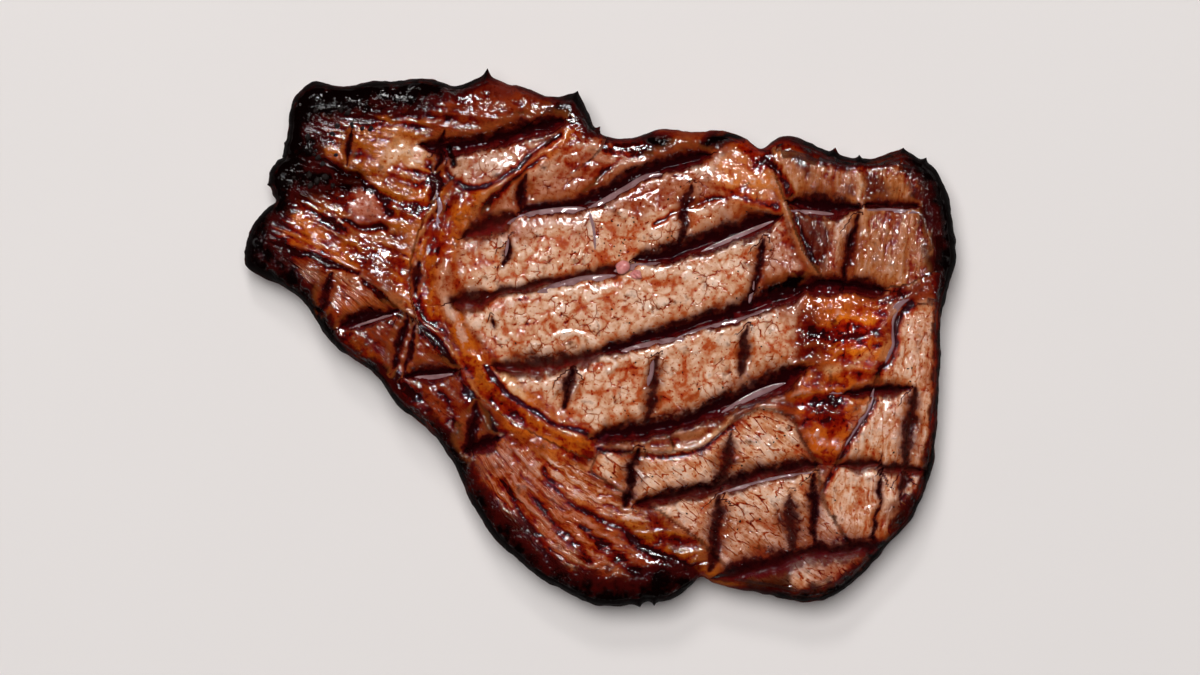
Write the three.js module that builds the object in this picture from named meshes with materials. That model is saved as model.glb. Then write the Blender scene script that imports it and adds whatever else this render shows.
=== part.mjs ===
// A grilled boneless ribeye steak, one solid, in millimetres.
// X runs along the steak, Y across it, and Z up from the flat underside.
// Its outline, its crowned upper face, the bars' marks, the seams of fat and the char's crags are the form.

import * as THREE from 'three';

// Driving dimensions
const EDGE_THICKNESS = 20;
const CROWN = { x: 12, y: 5, lengthwise: 62, crosswise: 52, rise: 6 };
const TIP_DROP = { x: -88, y: 20, lengthwise: 18, crosswise: 18, rise: -3 };
const RIM_WIDTH = 5;
const FOOT_WIDTH = 4;
const FOOT_WAVES = [{ count: 5, share: 0.25, turn: 0.6 }, { count: 11, share: 0.2, turn: 2.1 }];
const MID_HEIGHT_SHARE = 0.45;
const WALL_POWER = 2.6;
const GROOVE_POWER = 4;

// Fineness of the surface
const CELLS_ALONG = 80;
const CELLS_ACROSS = 44;
const OUTLINE_STEPS = 2400;
const RIM_SMOOTHING = 4;
const RELAXING_PASSES = 150;
const UPPER_WALL_ANGLES = [30, 60, 90];
const LOWER_WALL_ANGLES = [50, 0];

// Outline seen from above, clockwise, one list of points for each lobe or side
const UPPER_LEFT_LOBE = [
  [-79.3, 45], [-78, 51], [-77.8, 56.5], [-75.5, 61.5], [-71.8, 64], [-64.5, 63],
  [-57, 64], [-50, 64.2], [-43.5, 65], [-34.8, 62.9],
];
const UPPER_LUMP = [
  [-29, 64.9], [-23.3, 63.4], [-17.5, 62.2], [-11, 60], [-5.8, 60.2], [-2.8, 56], [-0.8, 51.6],
];
const EYE_EDGE = [[3.7, 49.6], [11, 50.6], [14.5, 52], [22.5, 51], [31, 51.4], [36, 49.6], [40.2, 47]];
const RIGHT_SHOULDER = [
  [44.4, 50], [47.5, 50.2], [52.5, 48.4], [57.2, 46], [67, 44.5], [70.7, 45.6], [75.4, 47],
  [80, 44.6], [84, 42],
];
const RIGHT_SIDE = [
  [86.7, 35], [88.3, 23], [88.7, 19.4], [87.4, 14.6], [85.4, 6.6], [84.4, -12.6], [82.6, -33.4],
];
const LOWER_RIGHT = [
  [80, -40.6], [75, -48.6], [62.4, -61.6], [57.7, -64.9], [50, -65.9], [43, -64.4], [28.4, -61.4],
];
const LOWER_NOTCH = [[25, -60]];
const CAP_END = [[22.7, -62.1], [17.2, -65.5], [11.4, -65.7], [5, -66.8], [-2.3, -66.3], [-9.8, -63]];
const CAP_SIDE = [
  [-17.6, -58], [-25.7, -50.4], [-30.8, -43.6], [-34, -36.4], [-37.5, -30], [-41.8, -24.4],
  [-51.7, -15.4], [-55.3, -10], [-61.6, -5.6], [-67.6, -0.4], [-73, 7.5], [-79.6, 13],
];
const LEFT_TIP = [[-87.8, 17.4], [-88.6, 19.2], [-88.3, 24.6], [-87, 28.2], [-83, 32.4]];
const LEFT_LOBE = [[-80.8, 34.1], [-81.8, 36], [-82.8, 40.6], [-80.8, 44.2]];
const OUTLINE = [
  UPPER_LEFT_LOBE, UPPER_LUMP, EYE_EDGE, RIGHT_SHOULDER, RIGHT_SIDE, LOWER_RIGHT,
  LOWER_NOTCH, CAP_END, CAP_SIDE, LEFT_TIP, LEFT_LOBE,
].flat();

// Outline points where the four sides of the upper face's grid meet, clockwise
const GRID_CORNERS = [[-71.8, 64], [84, 42], [62.4, -61.6], [-88.6, 19.2]];

// Tips of burnt crags that stand out of the outline
const CRAG_TIPS = [[-28, 66.9], [-5.6, 61], [58.5, 47.1], [81.4, 44.9], [10, -67.1]];
const CRAG_HEIGHT_SHARE = 0.8;

// Marks of the grate's bars that rise to the right
const RISING_MARKS = {
  halfWidth: 2, depth: 1.6,
  lines: [
    [[-44, 47.4], [-35, 47.4], [-25, 49.1], [-16, 51.9], [-9, 53.9]],
    [[-33, 25.4], [-25, 28.4], [-14, 31.9], [0.7, 35.1], [12.4, 41.4], [26.2, 45.1]],
    [[-36, 8.6], [-26, 10.4], [-5, 14.4], [10, 17.9], [25, 22.9], [43.7, 29.6]],
    [[-25, -7.1], [-7.6, -6.1], [6.2, -2.4], [22.4, 2.4], [38.7, 7.9], [57.4, 12.9], [70, 11.4]],
    [[-0.6, -24.6], [20, -20.9], [36.2, -14.6], [50, -9.4]],
    [[10, -41.4], [30, -37.1], [46.2, -33.1], [68, -32.1], [79.2, -33.4]],
    [[36.2, -58.1], [51.2, -54.1], [70, -52.4]],
    [[47, 33.4], [56, 32], [63, 32]],
    [[61.2, -13.9], [76.2, -12.6]],
    [[-62.6, 2.9], [-57.6, 4.9], [-51, 6.1]],
    [[-47, -9.1], [-35.6, -8.4]],
    [[-33, -28.1], [-25, -24.6]],
  ],
};

// Marks of the bars that cross them
const CROSSING_MARKS = {
  halfWidth: 1.7, depth: 1.3,
  lines: [
    [[-67.6, 14.9], [-70, 5.9]],
    [[-39.3, 50.1], [-40, 42.4]],
    [[-39.8, 34.9], [-40.3, 29.9]],
    [[-45, 18.9], [-45.8, 11.4]],
    [[-48, 3.9], [-51.6, -10.1]],
    [[-19, 40.1], [-20.3, 30.9]],
    [[-22.3, 23.6], [-23.8, 17.6]],
    [[-30.3, -17.4], [-33, -29.9]],
    [[-7, -7.6], [-8.6, -17.1]],
    [[22.2, 36.9], [20, 22.4]],
    [[14.2, -5.1], [11.4, -20.1]],
    [[9.2, -27.9], [6.7, -41.6]],
    [[40.7, 24.1], [37.4, 8.6]],
    [[36.4, 1.6], [34.7, -10.4]],
    [[32.2, -24.9], [30.2, -36.9], [28, -56.4]],
    [[63.7, 29.4], [60.4, 13.1]],
    [[52.7, -34.6], [52, -49.9]],
    [[77.7, -13.6], [76.2, -30.4], [75, -39.4]],
  ],
};

// Grooves where one muscle meets the next
const SEAMS = {
  halfWidth: 1.4, depth: 1.2,
  lines: [
    [[-79.3, 44.9], [-72.6, 44.4], [-63.8, 41.4], [-53.8, 33.9], [-52, 30.9]],
    [[-63, 29.4], [-58.8, 27.6], [-52.8, 27.4]],
    [[-43, 44.1], [-41, 38.9], [-42, 29.4], [-45, 23.6]],
    [[-38, 41.4], [-32.6, 36.9], [-25.8, 38.4], [-15, 46.9]],
    [[-85.6, 21.4], [-72.3, 20.6], [-59.6, 15.6], [-51, 7.4], [-38.3, -1.9], [-30, -15.6], [-26.3, -23.1]],
    [[-55.6, -6.9], [-44, -14.9], [-38.8, -21.9]],
    [[-13.8, -33.1], [-9.6, -38.6], [5, -47.4], [10.7, -52.4], [25, -59.4]],
    [[-23, -38], [-16, -50], [-8, -60]],
    [[-16, -40], [-6, -50], [6, -58]],
    [[77.4, 8.4], [73.3, 2.9], [72, -5.9], [68.4, -12.9], [62, -25.4], [55.4, -37.9]],
  ],
};

// Cords of fat and gristle that stand up along the edges of the muscles
const FAT_RIDGES = {
  halfWidth: 1.8, depth: -0.9,
  lines: [
    [[-13.8, 44.9], [-25.8, 37.1], [-36.6, 25.6], [-37.8, 16], [-33, 0.6], [-22.8, -12.1], [-7.8, -21.9]],
    [[9.2, -27.1], [17.4, -27.6], [24.7, -26.6], [34, -19.1], [40.2, -17.4], [49.4, -20.9]],
    [[40.2, 44.1], [45.7, 33.9], [48.2, 25.6], [53.7, 15.4], [57, 11.6]],
    [[63, 41.9], [64, 34.4], [72.7, 32.1], [79.2, 30.6], [83, 19.1]],
  ],
};

// Swellings of the upper face: centre, half length, half width and rise
const SWELLINGS = [
  { name: 'rolled rim of char', x: -53.8, y: 59.4, long: 11, wide: 4, rise: 1.2 },
  { name: 'blister', x: -40.6, y: 57.6, long: 5, wide: 6, rise: 1 },
  { name: 'upper lump', x: -25, y: 56.4, long: 14, wide: 5, rise: 1.3 },
  { name: 'tan pillow', x: -28, y: 42.4, long: 11, wide: 5, rise: 1.2 },
  { name: 'pink knob', x: -58, y: 32.4, long: 5, wide: 4, rise: 1.1 },
  { name: 'pale fat', x: -50, y: 45.6, long: 8, wide: 5, rise: 0.6 },
  { name: 'tip pillow', x: -72.6, y: 17.4, long: 6.5, wide: 5, rise: 1.2 },
  { name: 'first cap pillow', x: -58.8, y: 11.9, long: 6, wide: 5, rise: 1.3 },
  { name: 'second cap pillow', x: -54.3, y: 0.6, long: 4.5, wide: 5.5, rise: 1.2 },
  { name: 'third cap pillow', x: -43.8, y: -2.6, long: 5.5, wide: 6, rise: 1.3 },
  { name: 'fourth cap pillow', x: -40, y: -15.6, long: 5, wide: 6, rise: 1.2 },
  { name: 'kernel of fat', x: 60, y: -2, long: 11, wide: 13, rise: 1 },
  { name: 'lower kernel', x: 56, y: -23, long: 7, wide: 10, rise: 0.7 },
  { name: 'right shoulder', x: 50, y: 43, long: 8, wide: 5, rise: 0.8 },
  { name: 'cap end', x: 13.7, y: -61, long: 10, wide: 5, rise: 1.4 },
  { name: 'cap strand', x: -6.3, y: -56, long: 5, wide: 7, rise: 1 },
];

// Crust of the lean side, seen from a step away
const CRUST = { color: 0x7c483a, roughness: 0.45, metalness: 0 };

// Shortest distance from a point to a line of joined straight stretches
function distanceToLine(x, y, line) {
  let nearest = Infinity;
  for (let i = 0; i + 1 < line.length; i += 1) {
    const [ax, ay] = line[i];
    const dx = line[i + 1][0] - ax;
    const dy = line[i + 1][1] - ay;
    const share = ((x - ax) * dx + (y - ay) * dy) / (dx * dx + dy * dy);
    const held = Math.min(Math.max(share, 0), 1);
    nearest = Math.min(nearest, Math.hypot(x - ax - held * dx, y - ay - held * dy));
  }
  return nearest;
}

// How deep a family of grooves is at a point; a flat floor and steep sides, and crossings add nothing
function grooveDepth(x, y, family) {
  let share = 0;
  for (const line of family.lines) {
    const reach = distanceToLine(x, y, line) / family.halfWidth;
    share = Math.max(share, Math.exp(-(reach ** GROOVE_POWER) / 2));
  }
  return share * family.depth;
}

// Bell-shaped rise round a centre
function bell(x, y, form, long, wide) {
  return form.rise * Math.exp(-(((x - form.x) / long) ** 2) - ((y - form.y) / wide) ** 2);
}

// Height of the upper face: crowned, swollen over each muscle, cut by marks and seams
function faceHeight(x, y) {
  let height = EDGE_THICKNESS;
  for (const form of [CROWN, TIP_DROP]) {
    height += bell(x, y, form, form.lengthwise, form.crosswise);
  }
  for (const swelling of SWELLINGS) {
    height += bell(x, y, swelling, swelling.long, swelling.wide);
  }
  const marks = Math.max(grooveDepth(x, y, RISING_MARKS), grooveDepth(x, y, CROSSING_MARKS));
  height -= Math.max(marks, grooveDepth(x, y, SEAMS));
  return height - grooveDepth(x, y, FAT_RIDGES);
}

// Evenly spaced points round the outline
function outlinePoints() {
  const corners = OUTLINE.map(([x, y]) => new THREE.Vector3(x, y, 0));
  const curve = new THREE.CatmullRomCurve3(corners, true, 'centripetal');
  curve.arcLengthDivisions = OUTLINE_STEPS * 4;
  const points = curve.getSpacedPoints(OUTLINE_STEPS).slice(0, OUTLINE_STEPS);
  return points.map((point) => [point.x, point.y]);
}

// The outline with its small notches ironed out, by a bell-shaped running mean along it
function smoothedOutline(points, step) {
  const reach = Math.ceil((3 * RIM_SMOOTHING) / step);
  const count = points.length;
  return points.map((_, centre) => {
    let sumX = 0;
    let sumY = 0;
    let total = 0;
    for (let k = -reach; k <= reach; k += 1) {
      const weight = Math.exp(-0.5 * ((k * step) / RIM_SMOOTHING) ** 2);
      const [x, y] = points[(centre + k + count) % count];
      sumX += weight * x;
      sumY += weight * y;
      total += weight;
    }
    return [sumX / total, sumY / total];
  });
}

// A curve that runs inside a closed clockwise curve, by a width that depends on the share of the way round
function insetCurve(points, widthAt) {
  const count = points.length;
  return points.map(([x, y], i) => {
    const width = widthAt(i / count);
    const [px, py] = points[(i + count - 1) % count];
    const [nx, ny] = points[(i + 1) % count];
    const length = Math.hypot(nx - px, ny - py);
    return [x + (width * (ny - py)) / length, y - (width * (nx - px)) / length];
  });
}

// How far the underside's edge lies inside the outline: it wanders in and out round the steak
function footWidth(share) {
  const wave = ({ count, turn }) => Math.sin(2 * Math.PI * count * share + turn);
  return FOOT_WIDTH * FOOT_WAVES.reduce((sum, form) => sum + form.share * wave(form), 1);
}

function nearestIndex(points, [x, y]) {
  let best = 0;
  points.forEach(([px, py], i) => {
    const [bx, by] = points[best];
    if (Math.hypot(px - x, py - y) < Math.hypot(bx - x, by - y)) best = i;
  });
  return best;
}

// Places on the fine outline of the grid's edge points, as many on opposite sides
function edgePlaces(points) {
  const corners = GRID_CORNERS.map((corner) => nearestIndex(points, corner));
  const cells = [CELLS_ALONG, CELLS_ACROSS, CELLS_ALONG, CELLS_ACROSS];
  const places = [];
  corners.forEach((start, side) => {
    const end = corners[(side + 1) % corners.length];
    const span = (end - start + points.length) % points.length;
    for (let i = 0; i < cells[side]; i += 1) {
      places.push((start + Math.round((span * i) / cells[side])) % points.length);
    }
  });
  return places;
}

// Number on the rim of a point on the grid's edge, or -1 inside
function rimNumber(i, j) {
  if (j === CELLS_ACROSS) return i;
  if (i === CELLS_ALONG) return CELLS_ALONG + CELLS_ACROSS - j;
  if (j === 0) return 2 * CELLS_ALONG + CELLS_ACROSS - i;
  if (i === 0) return 2 * CELLS_ALONG + CELLS_ACROSS + j;
  return -1;
}

// Blend of the four sides of the rim at a place inside it
function blendedPoint(rim, i, j) {
  const u = i / CELLS_ALONG;
  const v = j / CELLS_ACROSS;
  const at = (a, b) => rim[rimNumber(a, b)];
  const across = (axis) => (1 - v) * at(i, 0)[axis] + v * at(i, CELLS_ACROSS)[axis];
  const along = (axis) => (1 - u) * at(0, j)[axis] + u * at(CELLS_ALONG, j)[axis];
  const lower = (axis) => (1 - u) * at(0, 0)[axis] + u * at(CELLS_ALONG, 0)[axis];
  const upper = (axis) => (1 - u) * at(0, CELLS_ACROSS)[axis] + u * at(CELLS_ALONG, CELLS_ACROSS)[axis];
  return [0, 1].map((axis) => across(axis) + along(axis) - (1 - v) * lower(axis) - v * upper(axis));
}

// The upper face's grid in plan: the sides' blend, then each inner point drawn to its neighbours' mean
function relaxedGrid(rim) {
  const grid = [];
  for (let j = 0; j <= CELLS_ACROSS; j += 1) {
    for (let i = 0; i <= CELLS_ALONG; i += 1) {
      grid.push(rimNumber(i, j) < 0 ? blendedPoint(rim, i, j) : [...rim[rimNumber(i, j)]]);
    }
  }
  const row = CELLS_ALONG + 1;
  for (let pass = 0; pass < RELAXING_PASSES; pass += 1) {
    for (let k = row; k < grid.length - row; k += 1) {
      if (rimNumber(k % row, Math.floor(k / row)) >= 0) continue;
      const around = [grid[k - 1], grid[k + 1], grid[k - row], grid[k + row]];
      grid[k] = [0, 1].map((axis) => around.reduce((sum, point) => sum + point[axis], 0) / around.length);
    }
  }
  return grid;
}

// Shares of the way out and of the height left at an angle down the rounded wall
function wallShares(degrees) {
  const angle = THREE.MathUtils.degToRad(degrees);
  return { out: Math.sin(angle) ** (2 / WALL_POWER), left: Math.cos(angle) ** (2 / WALL_POWER) };
}

// One ring of the wall between an inner curve and the outline
function wallRing(inner, outer, heights, degrees, isUpper) {
  const { out, left } = wallShares(degrees);
  return outer.map(([x, y], k) => {
    const middle = MID_HEIGHT_SHARE * heights[k];
    const rise = isUpper ? (heights[k] - middle) * left : -middle * left;
    return [inner[k][0] + (x - inner[k][0]) * out, inner[k][1] + (y - inner[k][1]) * out, middle + rise];
  });
}

// The outline with the nearest point drawn out to each crag's tip
function raiseCrags(outer) {
  const raised = outer.map((point) => [...point]);
  for (const tip of CRAG_TIPS) {
    const k = nearestIndex(raised, tip);
    raised[k] = raised[k].map((value, axis) => value + (tip[axis] - value) * CRAG_HEIGHT_SHARE);
  }
  return raised;
}

// Two triangles for each step between two rings, the first above the second
function stitchRings(triangles, upper, lower) {
  upper.forEach((a, k) => {
    const next = (k + 1) % upper.length;
    triangles.push([a, upper[next], lower[next]], [a, lower[next], lower[k]]);
  });
}

// Number of the vertex at a place on the upper face's grid
function gridVertex(i, j) {
  return j * (CELLS_ALONG + 1) + i;
}

// Vertices on the grid's edge, in their order round the rim
function rimVertices() {
  const numbers = [];
  for (let j = 0; j <= CELLS_ACROSS; j += 1) {
    for (let i = 0; i <= CELLS_ALONG; i += 1) {
      if (rimNumber(i, j) >= 0) numbers[rimNumber(i, j)] = gridVertex(i, j);
    }
  }
  return numbers;
}

function upperFaceTriangles() {
  const triangles = [];
  for (let j = 0; j < CELLS_ACROSS; j += 1) {
    for (let i = 0; i < CELLS_ALONG; i += 1) {
      const [a, b] = [gridVertex(i, j), gridVertex(i + 1, j)];
      const [c, d] = [gridVertex(i + 1, j + 1), gridVertex(i, j + 1)];
      triangles.push([a, b, c], [a, c, d]);
    }
  }
  return triangles;
}

// Flat face that closes the lowest ring, turned down
function undersideTriangles(vertices, ring) {
  const outline = ring.map((index) => new THREE.Vector2(vertices[index][0], vertices[index][1]));
  return THREE.ShapeUtils.triangulateShape(outline, []).map(([a, b, c]) => {
    const facesUp = THREE.ShapeUtils.area([outline[a], outline[b], outline[c]]) > 0;
    return facesUp ? [ring[a], ring[c], ring[b]] : [ring[a], ring[b], ring[c]];
  });
}

// The closed surface: the upper face, the wall's rings from the rim down, and the flat underside
function steakGeometry() {
  const fine = outlinePoints();
  const step = Math.hypot(fine[1][0] - fine[0][0], fine[1][1] - fine[0][1]);
  const smooth = smoothedOutline(fine, step);
  const places = edgePlaces(fine);
  const pick = (curve) => places.map((place) => curve[place]);
  const rim = pick(insetCurve(smooth, () => RIM_WIDTH));
  const foot = pick(insetCurve(smooth, footWidth));
  const outer = raiseCrags(pick(fine));

  const vertices = relaxedGrid(rim).map(([x, y]) => [x, y, faceHeight(x, y)]);
  const triangles = upperFaceTriangles();
  let above = rimVertices();
  const heights = above.map((index) => vertices[index][2]);
  const rings = [
    ...UPPER_WALL_ANGLES.map((degrees) => wallRing(rim, outer, heights, degrees, true)),
    ...LOWER_WALL_ANGLES.map((degrees) => wallRing(foot, outer, heights, degrees, false)),
  ];
  for (const ring of rings) {
    const below = ring.map((_, k) => vertices.length + k);
    vertices.push(...ring);
    stitchRings(triangles, above, below);
    above = below;
  }
  triangles.push(...undersideTriangles(vertices, above));
  return faceted(vertices, triangles);
}

// A mesh geometry with its box's middle over the origin
function faceted(vertices, triangles) {
  const geometry = new THREE.BufferGeometry();
  geometry.setAttribute('position', new THREE.Float32BufferAttribute(vertices.flat(), 3));
  geometry.setIndex(triangles.flat());
  geometry.computeBoundingBox();
  const middle = geometry.boundingBox.getCenter(new THREE.Vector3());
  geometry.translate(-middle.x, -middle.y, 0);
  geometry.computeVertexNormals();
  return geometry;
}

function steak() {
  const mesh = new THREE.Mesh(steakGeometry(), new THREE.MeshStandardMaterial(CRUST));
  mesh.name = 'steak';
  return mesh;
}

const group = new THREE.Group();
group.add(steak());

export default group;
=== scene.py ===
"""A grilled boneless ribeye steak, seen from straight above on a pale floor.

The steak is one closed surface in the CAD node's place. Its form repeats named sizes of the part's source:
the outline, the crowned upper face, the bars' marks, the seams and the cords of fat, in finer detail. Numpy
works out the relief and where each kind of crust lies, and the materials add what is finer still.
Sizes and places are in millimetres until a mesh is made.
"""

from functools import partial

import bpy
import numpy as np
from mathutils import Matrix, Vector


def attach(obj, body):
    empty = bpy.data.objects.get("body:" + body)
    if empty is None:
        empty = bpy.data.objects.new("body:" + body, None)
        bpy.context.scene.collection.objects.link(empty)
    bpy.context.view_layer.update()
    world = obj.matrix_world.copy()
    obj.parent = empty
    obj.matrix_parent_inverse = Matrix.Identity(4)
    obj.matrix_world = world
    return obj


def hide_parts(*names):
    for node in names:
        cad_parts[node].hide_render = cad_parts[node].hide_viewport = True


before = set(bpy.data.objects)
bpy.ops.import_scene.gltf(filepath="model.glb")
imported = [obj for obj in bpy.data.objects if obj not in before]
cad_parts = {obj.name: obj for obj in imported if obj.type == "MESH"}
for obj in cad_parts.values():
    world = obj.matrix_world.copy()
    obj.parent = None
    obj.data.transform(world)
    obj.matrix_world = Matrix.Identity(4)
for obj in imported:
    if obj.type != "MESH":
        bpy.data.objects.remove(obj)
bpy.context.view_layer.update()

MM = 0.001
SEED = 7

# The form, as in the part's source, but with a wall that is squarer than there
EDGE_THICKNESS = 20.0
# Rises and falls of the upper face: x, y, half length, half width and rise
CROWN = (12, 5, 62, 52, 6.0)
TIP_DROP = (-88, 20, 18, 18, -3.0)
# How far inside the outline the upper face's rim and the lower face's foot lie, and the waves in the foot:
# how many go round, share of the foot's width, and where they start
RIM_WIDTH = 5.0
FOOT_WIDTH = 4.0
FOOT_WAVES = ((5, 0.25, 0.6), (11, 0.2, 2.1))
# Share of the thickness at which the wall stands out farthest, and the power of its superellipse
MID_HEIGHT_SHARE = 0.45
WALL_POWER = 3.4

# Fineness of the surface: cells of the upper face's grid, how often its points are drawn to their
# neighbours' mean, rings of the wall above and below its widest place, points of the outline and how far it
# is smoothed for the rim
CELLS_ALONG, CELLS_ACROSS = 340, 190
RELAXING_PASSES = 1500
UPPER_WALL_STEPS, LOWER_WALL_STEPS = 9, 5
OUTLINE_STEPS = 4800
RIM_SMOOTHING = 4.0
# Steps of a curve between two of its points, and the step along a mark, seam or other line
CLOSED_CURVE_STEPS, OPEN_CURVE_STEPS = 60, 24
PATH_STEP = 0.7
# Squares along a noise's side, after which it repeats, and what spreads a sum of noises out to about 1
NOISE_TABLE = 256
NOISE_SPREAD = 1.6
# Only every so many points of the outline are measured from, and in how many batches
EDGE_STRIDE, EDGE_BATCHES = 6, 24
# How far from an area, seam or cord, a burnt patch and a mark its effect is worked out
AREA_REACH, CHAR_REACH, MARK_REACH = 6, 8, 9

# Outline seen from above, clockwise, a list of points for each lobe or side, and then the grid's corners
UPPER_LEFT_LOBE = [
    (-79.3, 45), (-78, 51), (-77.8, 56.5), (-75.5, 61.5), (-71.8, 64), (-64.5, 63), (-57, 64), (-50, 64.2),
    (-43.5, 65), (-34.8, 62.9),
]
UPPER_LUMP = [(-29, 64.9), (-23.3, 63.4), (-17.5, 62.2), (-11, 60), (-5.8, 60.2), (-2.8, 56), (-0.8, 51.6)]
EYE_EDGE = [(3.7, 49.6), (11, 50.6), (14.5, 52), (22.5, 51), (31, 51.4), (36, 49.6), (40.2, 47)]
RIGHT_SHOULDER = [
    (44.4, 50), (47.5, 50.2), (52.5, 48.4), (57.2, 46), (67, 44.5), (70.7, 45.6), (75.4, 47), (80, 44.6),
    (84, 42),
]
RIGHT_SIDE = [(86.7, 35), (88.3, 23), (88.7, 19.4), (87.4, 14.6), (85.4, 6.6), (84.4, -12.6), (82.6, -33.4)]
LOWER_RIGHT = [
    (80, -40.6), (75, -48.6), (62.4, -61.6), (57.7, -64.9), (50, -65.9), (43, -64.4), (28.4, -61.4),
]
LOWER_NOTCH = [(25, -60)]
CAP_END = [(22.7, -62.1), (17.2, -65.5), (11.4, -65.7), (5, -66.8), (-2.3, -66.3), (-9.8, -63)]
CAP_SIDE = [
    (-17.6, -58), (-25.7, -50.4), (-30.8, -43.6), (-34, -36.4), (-37.5, -30), (-41.8, -24.4),
    (-51.7, -15.4), (-55.3, -10), (-61.6, -5.6), (-67.6, -0.4), (-73, 7.5), (-79.6, 13),
]
LEFT_TIP = [(-87.8, 17.4), (-88.6, 19.2), (-88.3, 24.6), (-87, 28.2), (-83, 32.4)]
LEFT_LOBE = [(-80.8, 34.1), (-81.8, 36), (-82.8, 40.6), (-80.8, 44.2)]
OUTLINE = (
    UPPER_LEFT_LOBE + UPPER_LUMP + EYE_EDGE + RIGHT_SHOULDER + RIGHT_SIDE + LOWER_RIGHT
    + LOWER_NOTCH + CAP_END + CAP_SIDE + LEFT_TIP + LEFT_LOBE
)
GRID_CORNERS = [(-71.8, 64), (84, 42), (62.4, -61.6), (-88.6, 19.2)]

# Burnt crags on the edge: place of the tip and half width along the edge
CRAGS = [
    (-28, 67, 1.1), (-5.6, 61.2, 0.9), (0.2, 52.6, 0.9), (58.5, 47.3, 1.2), (64.5, 45.6, 0.8),
    (75.6, 47.8, 1.0), (81.4, 45, 0.8), (10, -67.3, 1.5), (13.5, -66.8, 0.8), (-88.9, 21.5, 0.8),
    (-83.4, 38, 0.8), (-78.8, 48.5, 0.8),
]

# Marks of the grate's bars that rise to the right: x, y and half width along each, then depth and how burnt
RISING_MARKS = [
    ([(-44, 47.4, 1.2), (-35, 47.4, 1.8), (-25, 49.1, 1.8), (-16, 51.9, 2.2), (-9, 53.9, 1.6)], 1.3, 0.8),
    ([(-33, 25.4, 1.6), (-28, 27, 2.4), (-22, 29.3, 1.8)], 1.2, 0.25),
    ([(-20, 30.8, 1.4), (-14, 31.9, 1.4), (-5, 33.3, 1.7), (0.7, 35.3, 1.8), (6.2, 38.4, 1.6),
      (12.4, 41.4, 1.8), (20, 43.6, 2.2), (26.2, 45.1, 2)], 1.8, 0.95),
    ([(-36, 8.6, 2.4), (-30, 8.9, 2.3), (-26, 10.2, 1.2)], 1.2, 0.3),
    ([(-27, 10.2, 1), (-15, 12.8, 1), (-5, 14.8, 1.1), (2.4, 15.9, 1.2), (8, 17.2, 1.2)], 1.4, 0.35),
    ([(9, 19, 1.2), (16.2, 20.6, 1.9), (25, 23.1, 2.3), (33.7, 26.3, 2.4), (41.2, 28.8, 1.7),
      (44, 29.8, 0.9)], 1.9, 1.0),
    ([(-25, -7.3, 1.8), (-17.5, -7.4, 2.2), (-7.6, -6.3, 1.8), (0, -4.1, 1.4)], 1.3, 0.3),
    ([(0, -3.9, 1.3), (6.2, -2, 1.4), (13.7, 0.4, 1.7), (22.4, 2.9, 1.7), (31.2, 5.4, 1.9),
      (38.7, 8.4, 2.2), (45, 10.6, 2.4), (50, 11.6, 2.2)], 1.9, 0.9),
    ([(50, 12, 2), (57.4, 13.2, 1.8), (65, 12.4, 1.9), (70, 11.2, 1.6)], 1.3, 0.75),
    ([(-0.6, -24.8, 1.6), (10, -22.9, 2.1), (20, -20.7, 1.9), (28.7, -17.6, 2.1), (36.2, -14.2, 2.4),
      (43.7, -11, 2.6), (49.5, -8, 2.2)], 1.9, 0.85),
    ([(10, -41.4, 1.5), (20, -39.1, 1.5), (30, -36.9, 1.8), (38.7, -34.3, 1.9), (46.2, -32.7, 1.8),
      (53, -31.9, 1.4)], 1.6, 0.6),
    ([(59.4, -31.6, 1.4), (68, -31.7, 1.4)], 0.9, 0.4),
    ([(69, -32.6, 1.4), (79.2, -33.6, 1.8)], 0.8, 0.35),
    ([(28.7, -60, 1), (36.2, -57.6, 2.2), (43.7, -55.8, 2.4), (51.2, -53.6, 2.2), (60, -52.8, 2.2),
      (70, -51.4, 2)], 0.15, 0.6),
    ([(47, 33.2, 1), (50, 33.1, 2.2), (57, 32.2, 2.6), (63, 32.2, 1.8)], 1.6, 1.0),
    ([(66, 33, 1.3), (78, 32.6, 1.2)], 1.0, 0.6),
    ([(61.2, -13.9, 0.8), (67.4, -13.4, 1.2), (76.2, -12.4, 1.4)], 1.0, 0.7),
    ([(-63.5, 2.6, 1.5), (-57.6, 4.9, 1.7), (-50, 6.4, 1)], 1.2, 1.0),
    ([(-48, -9.1, 0.9), (-44, -9, 1.8), (-35.6, -8.4, 1.4)], 1.2, 1.0),
    ([(-33, -28.1, 1.6), (-28, -26, 2), (-25, -24.6, 1)], 1.2, 1.0),
]

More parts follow.
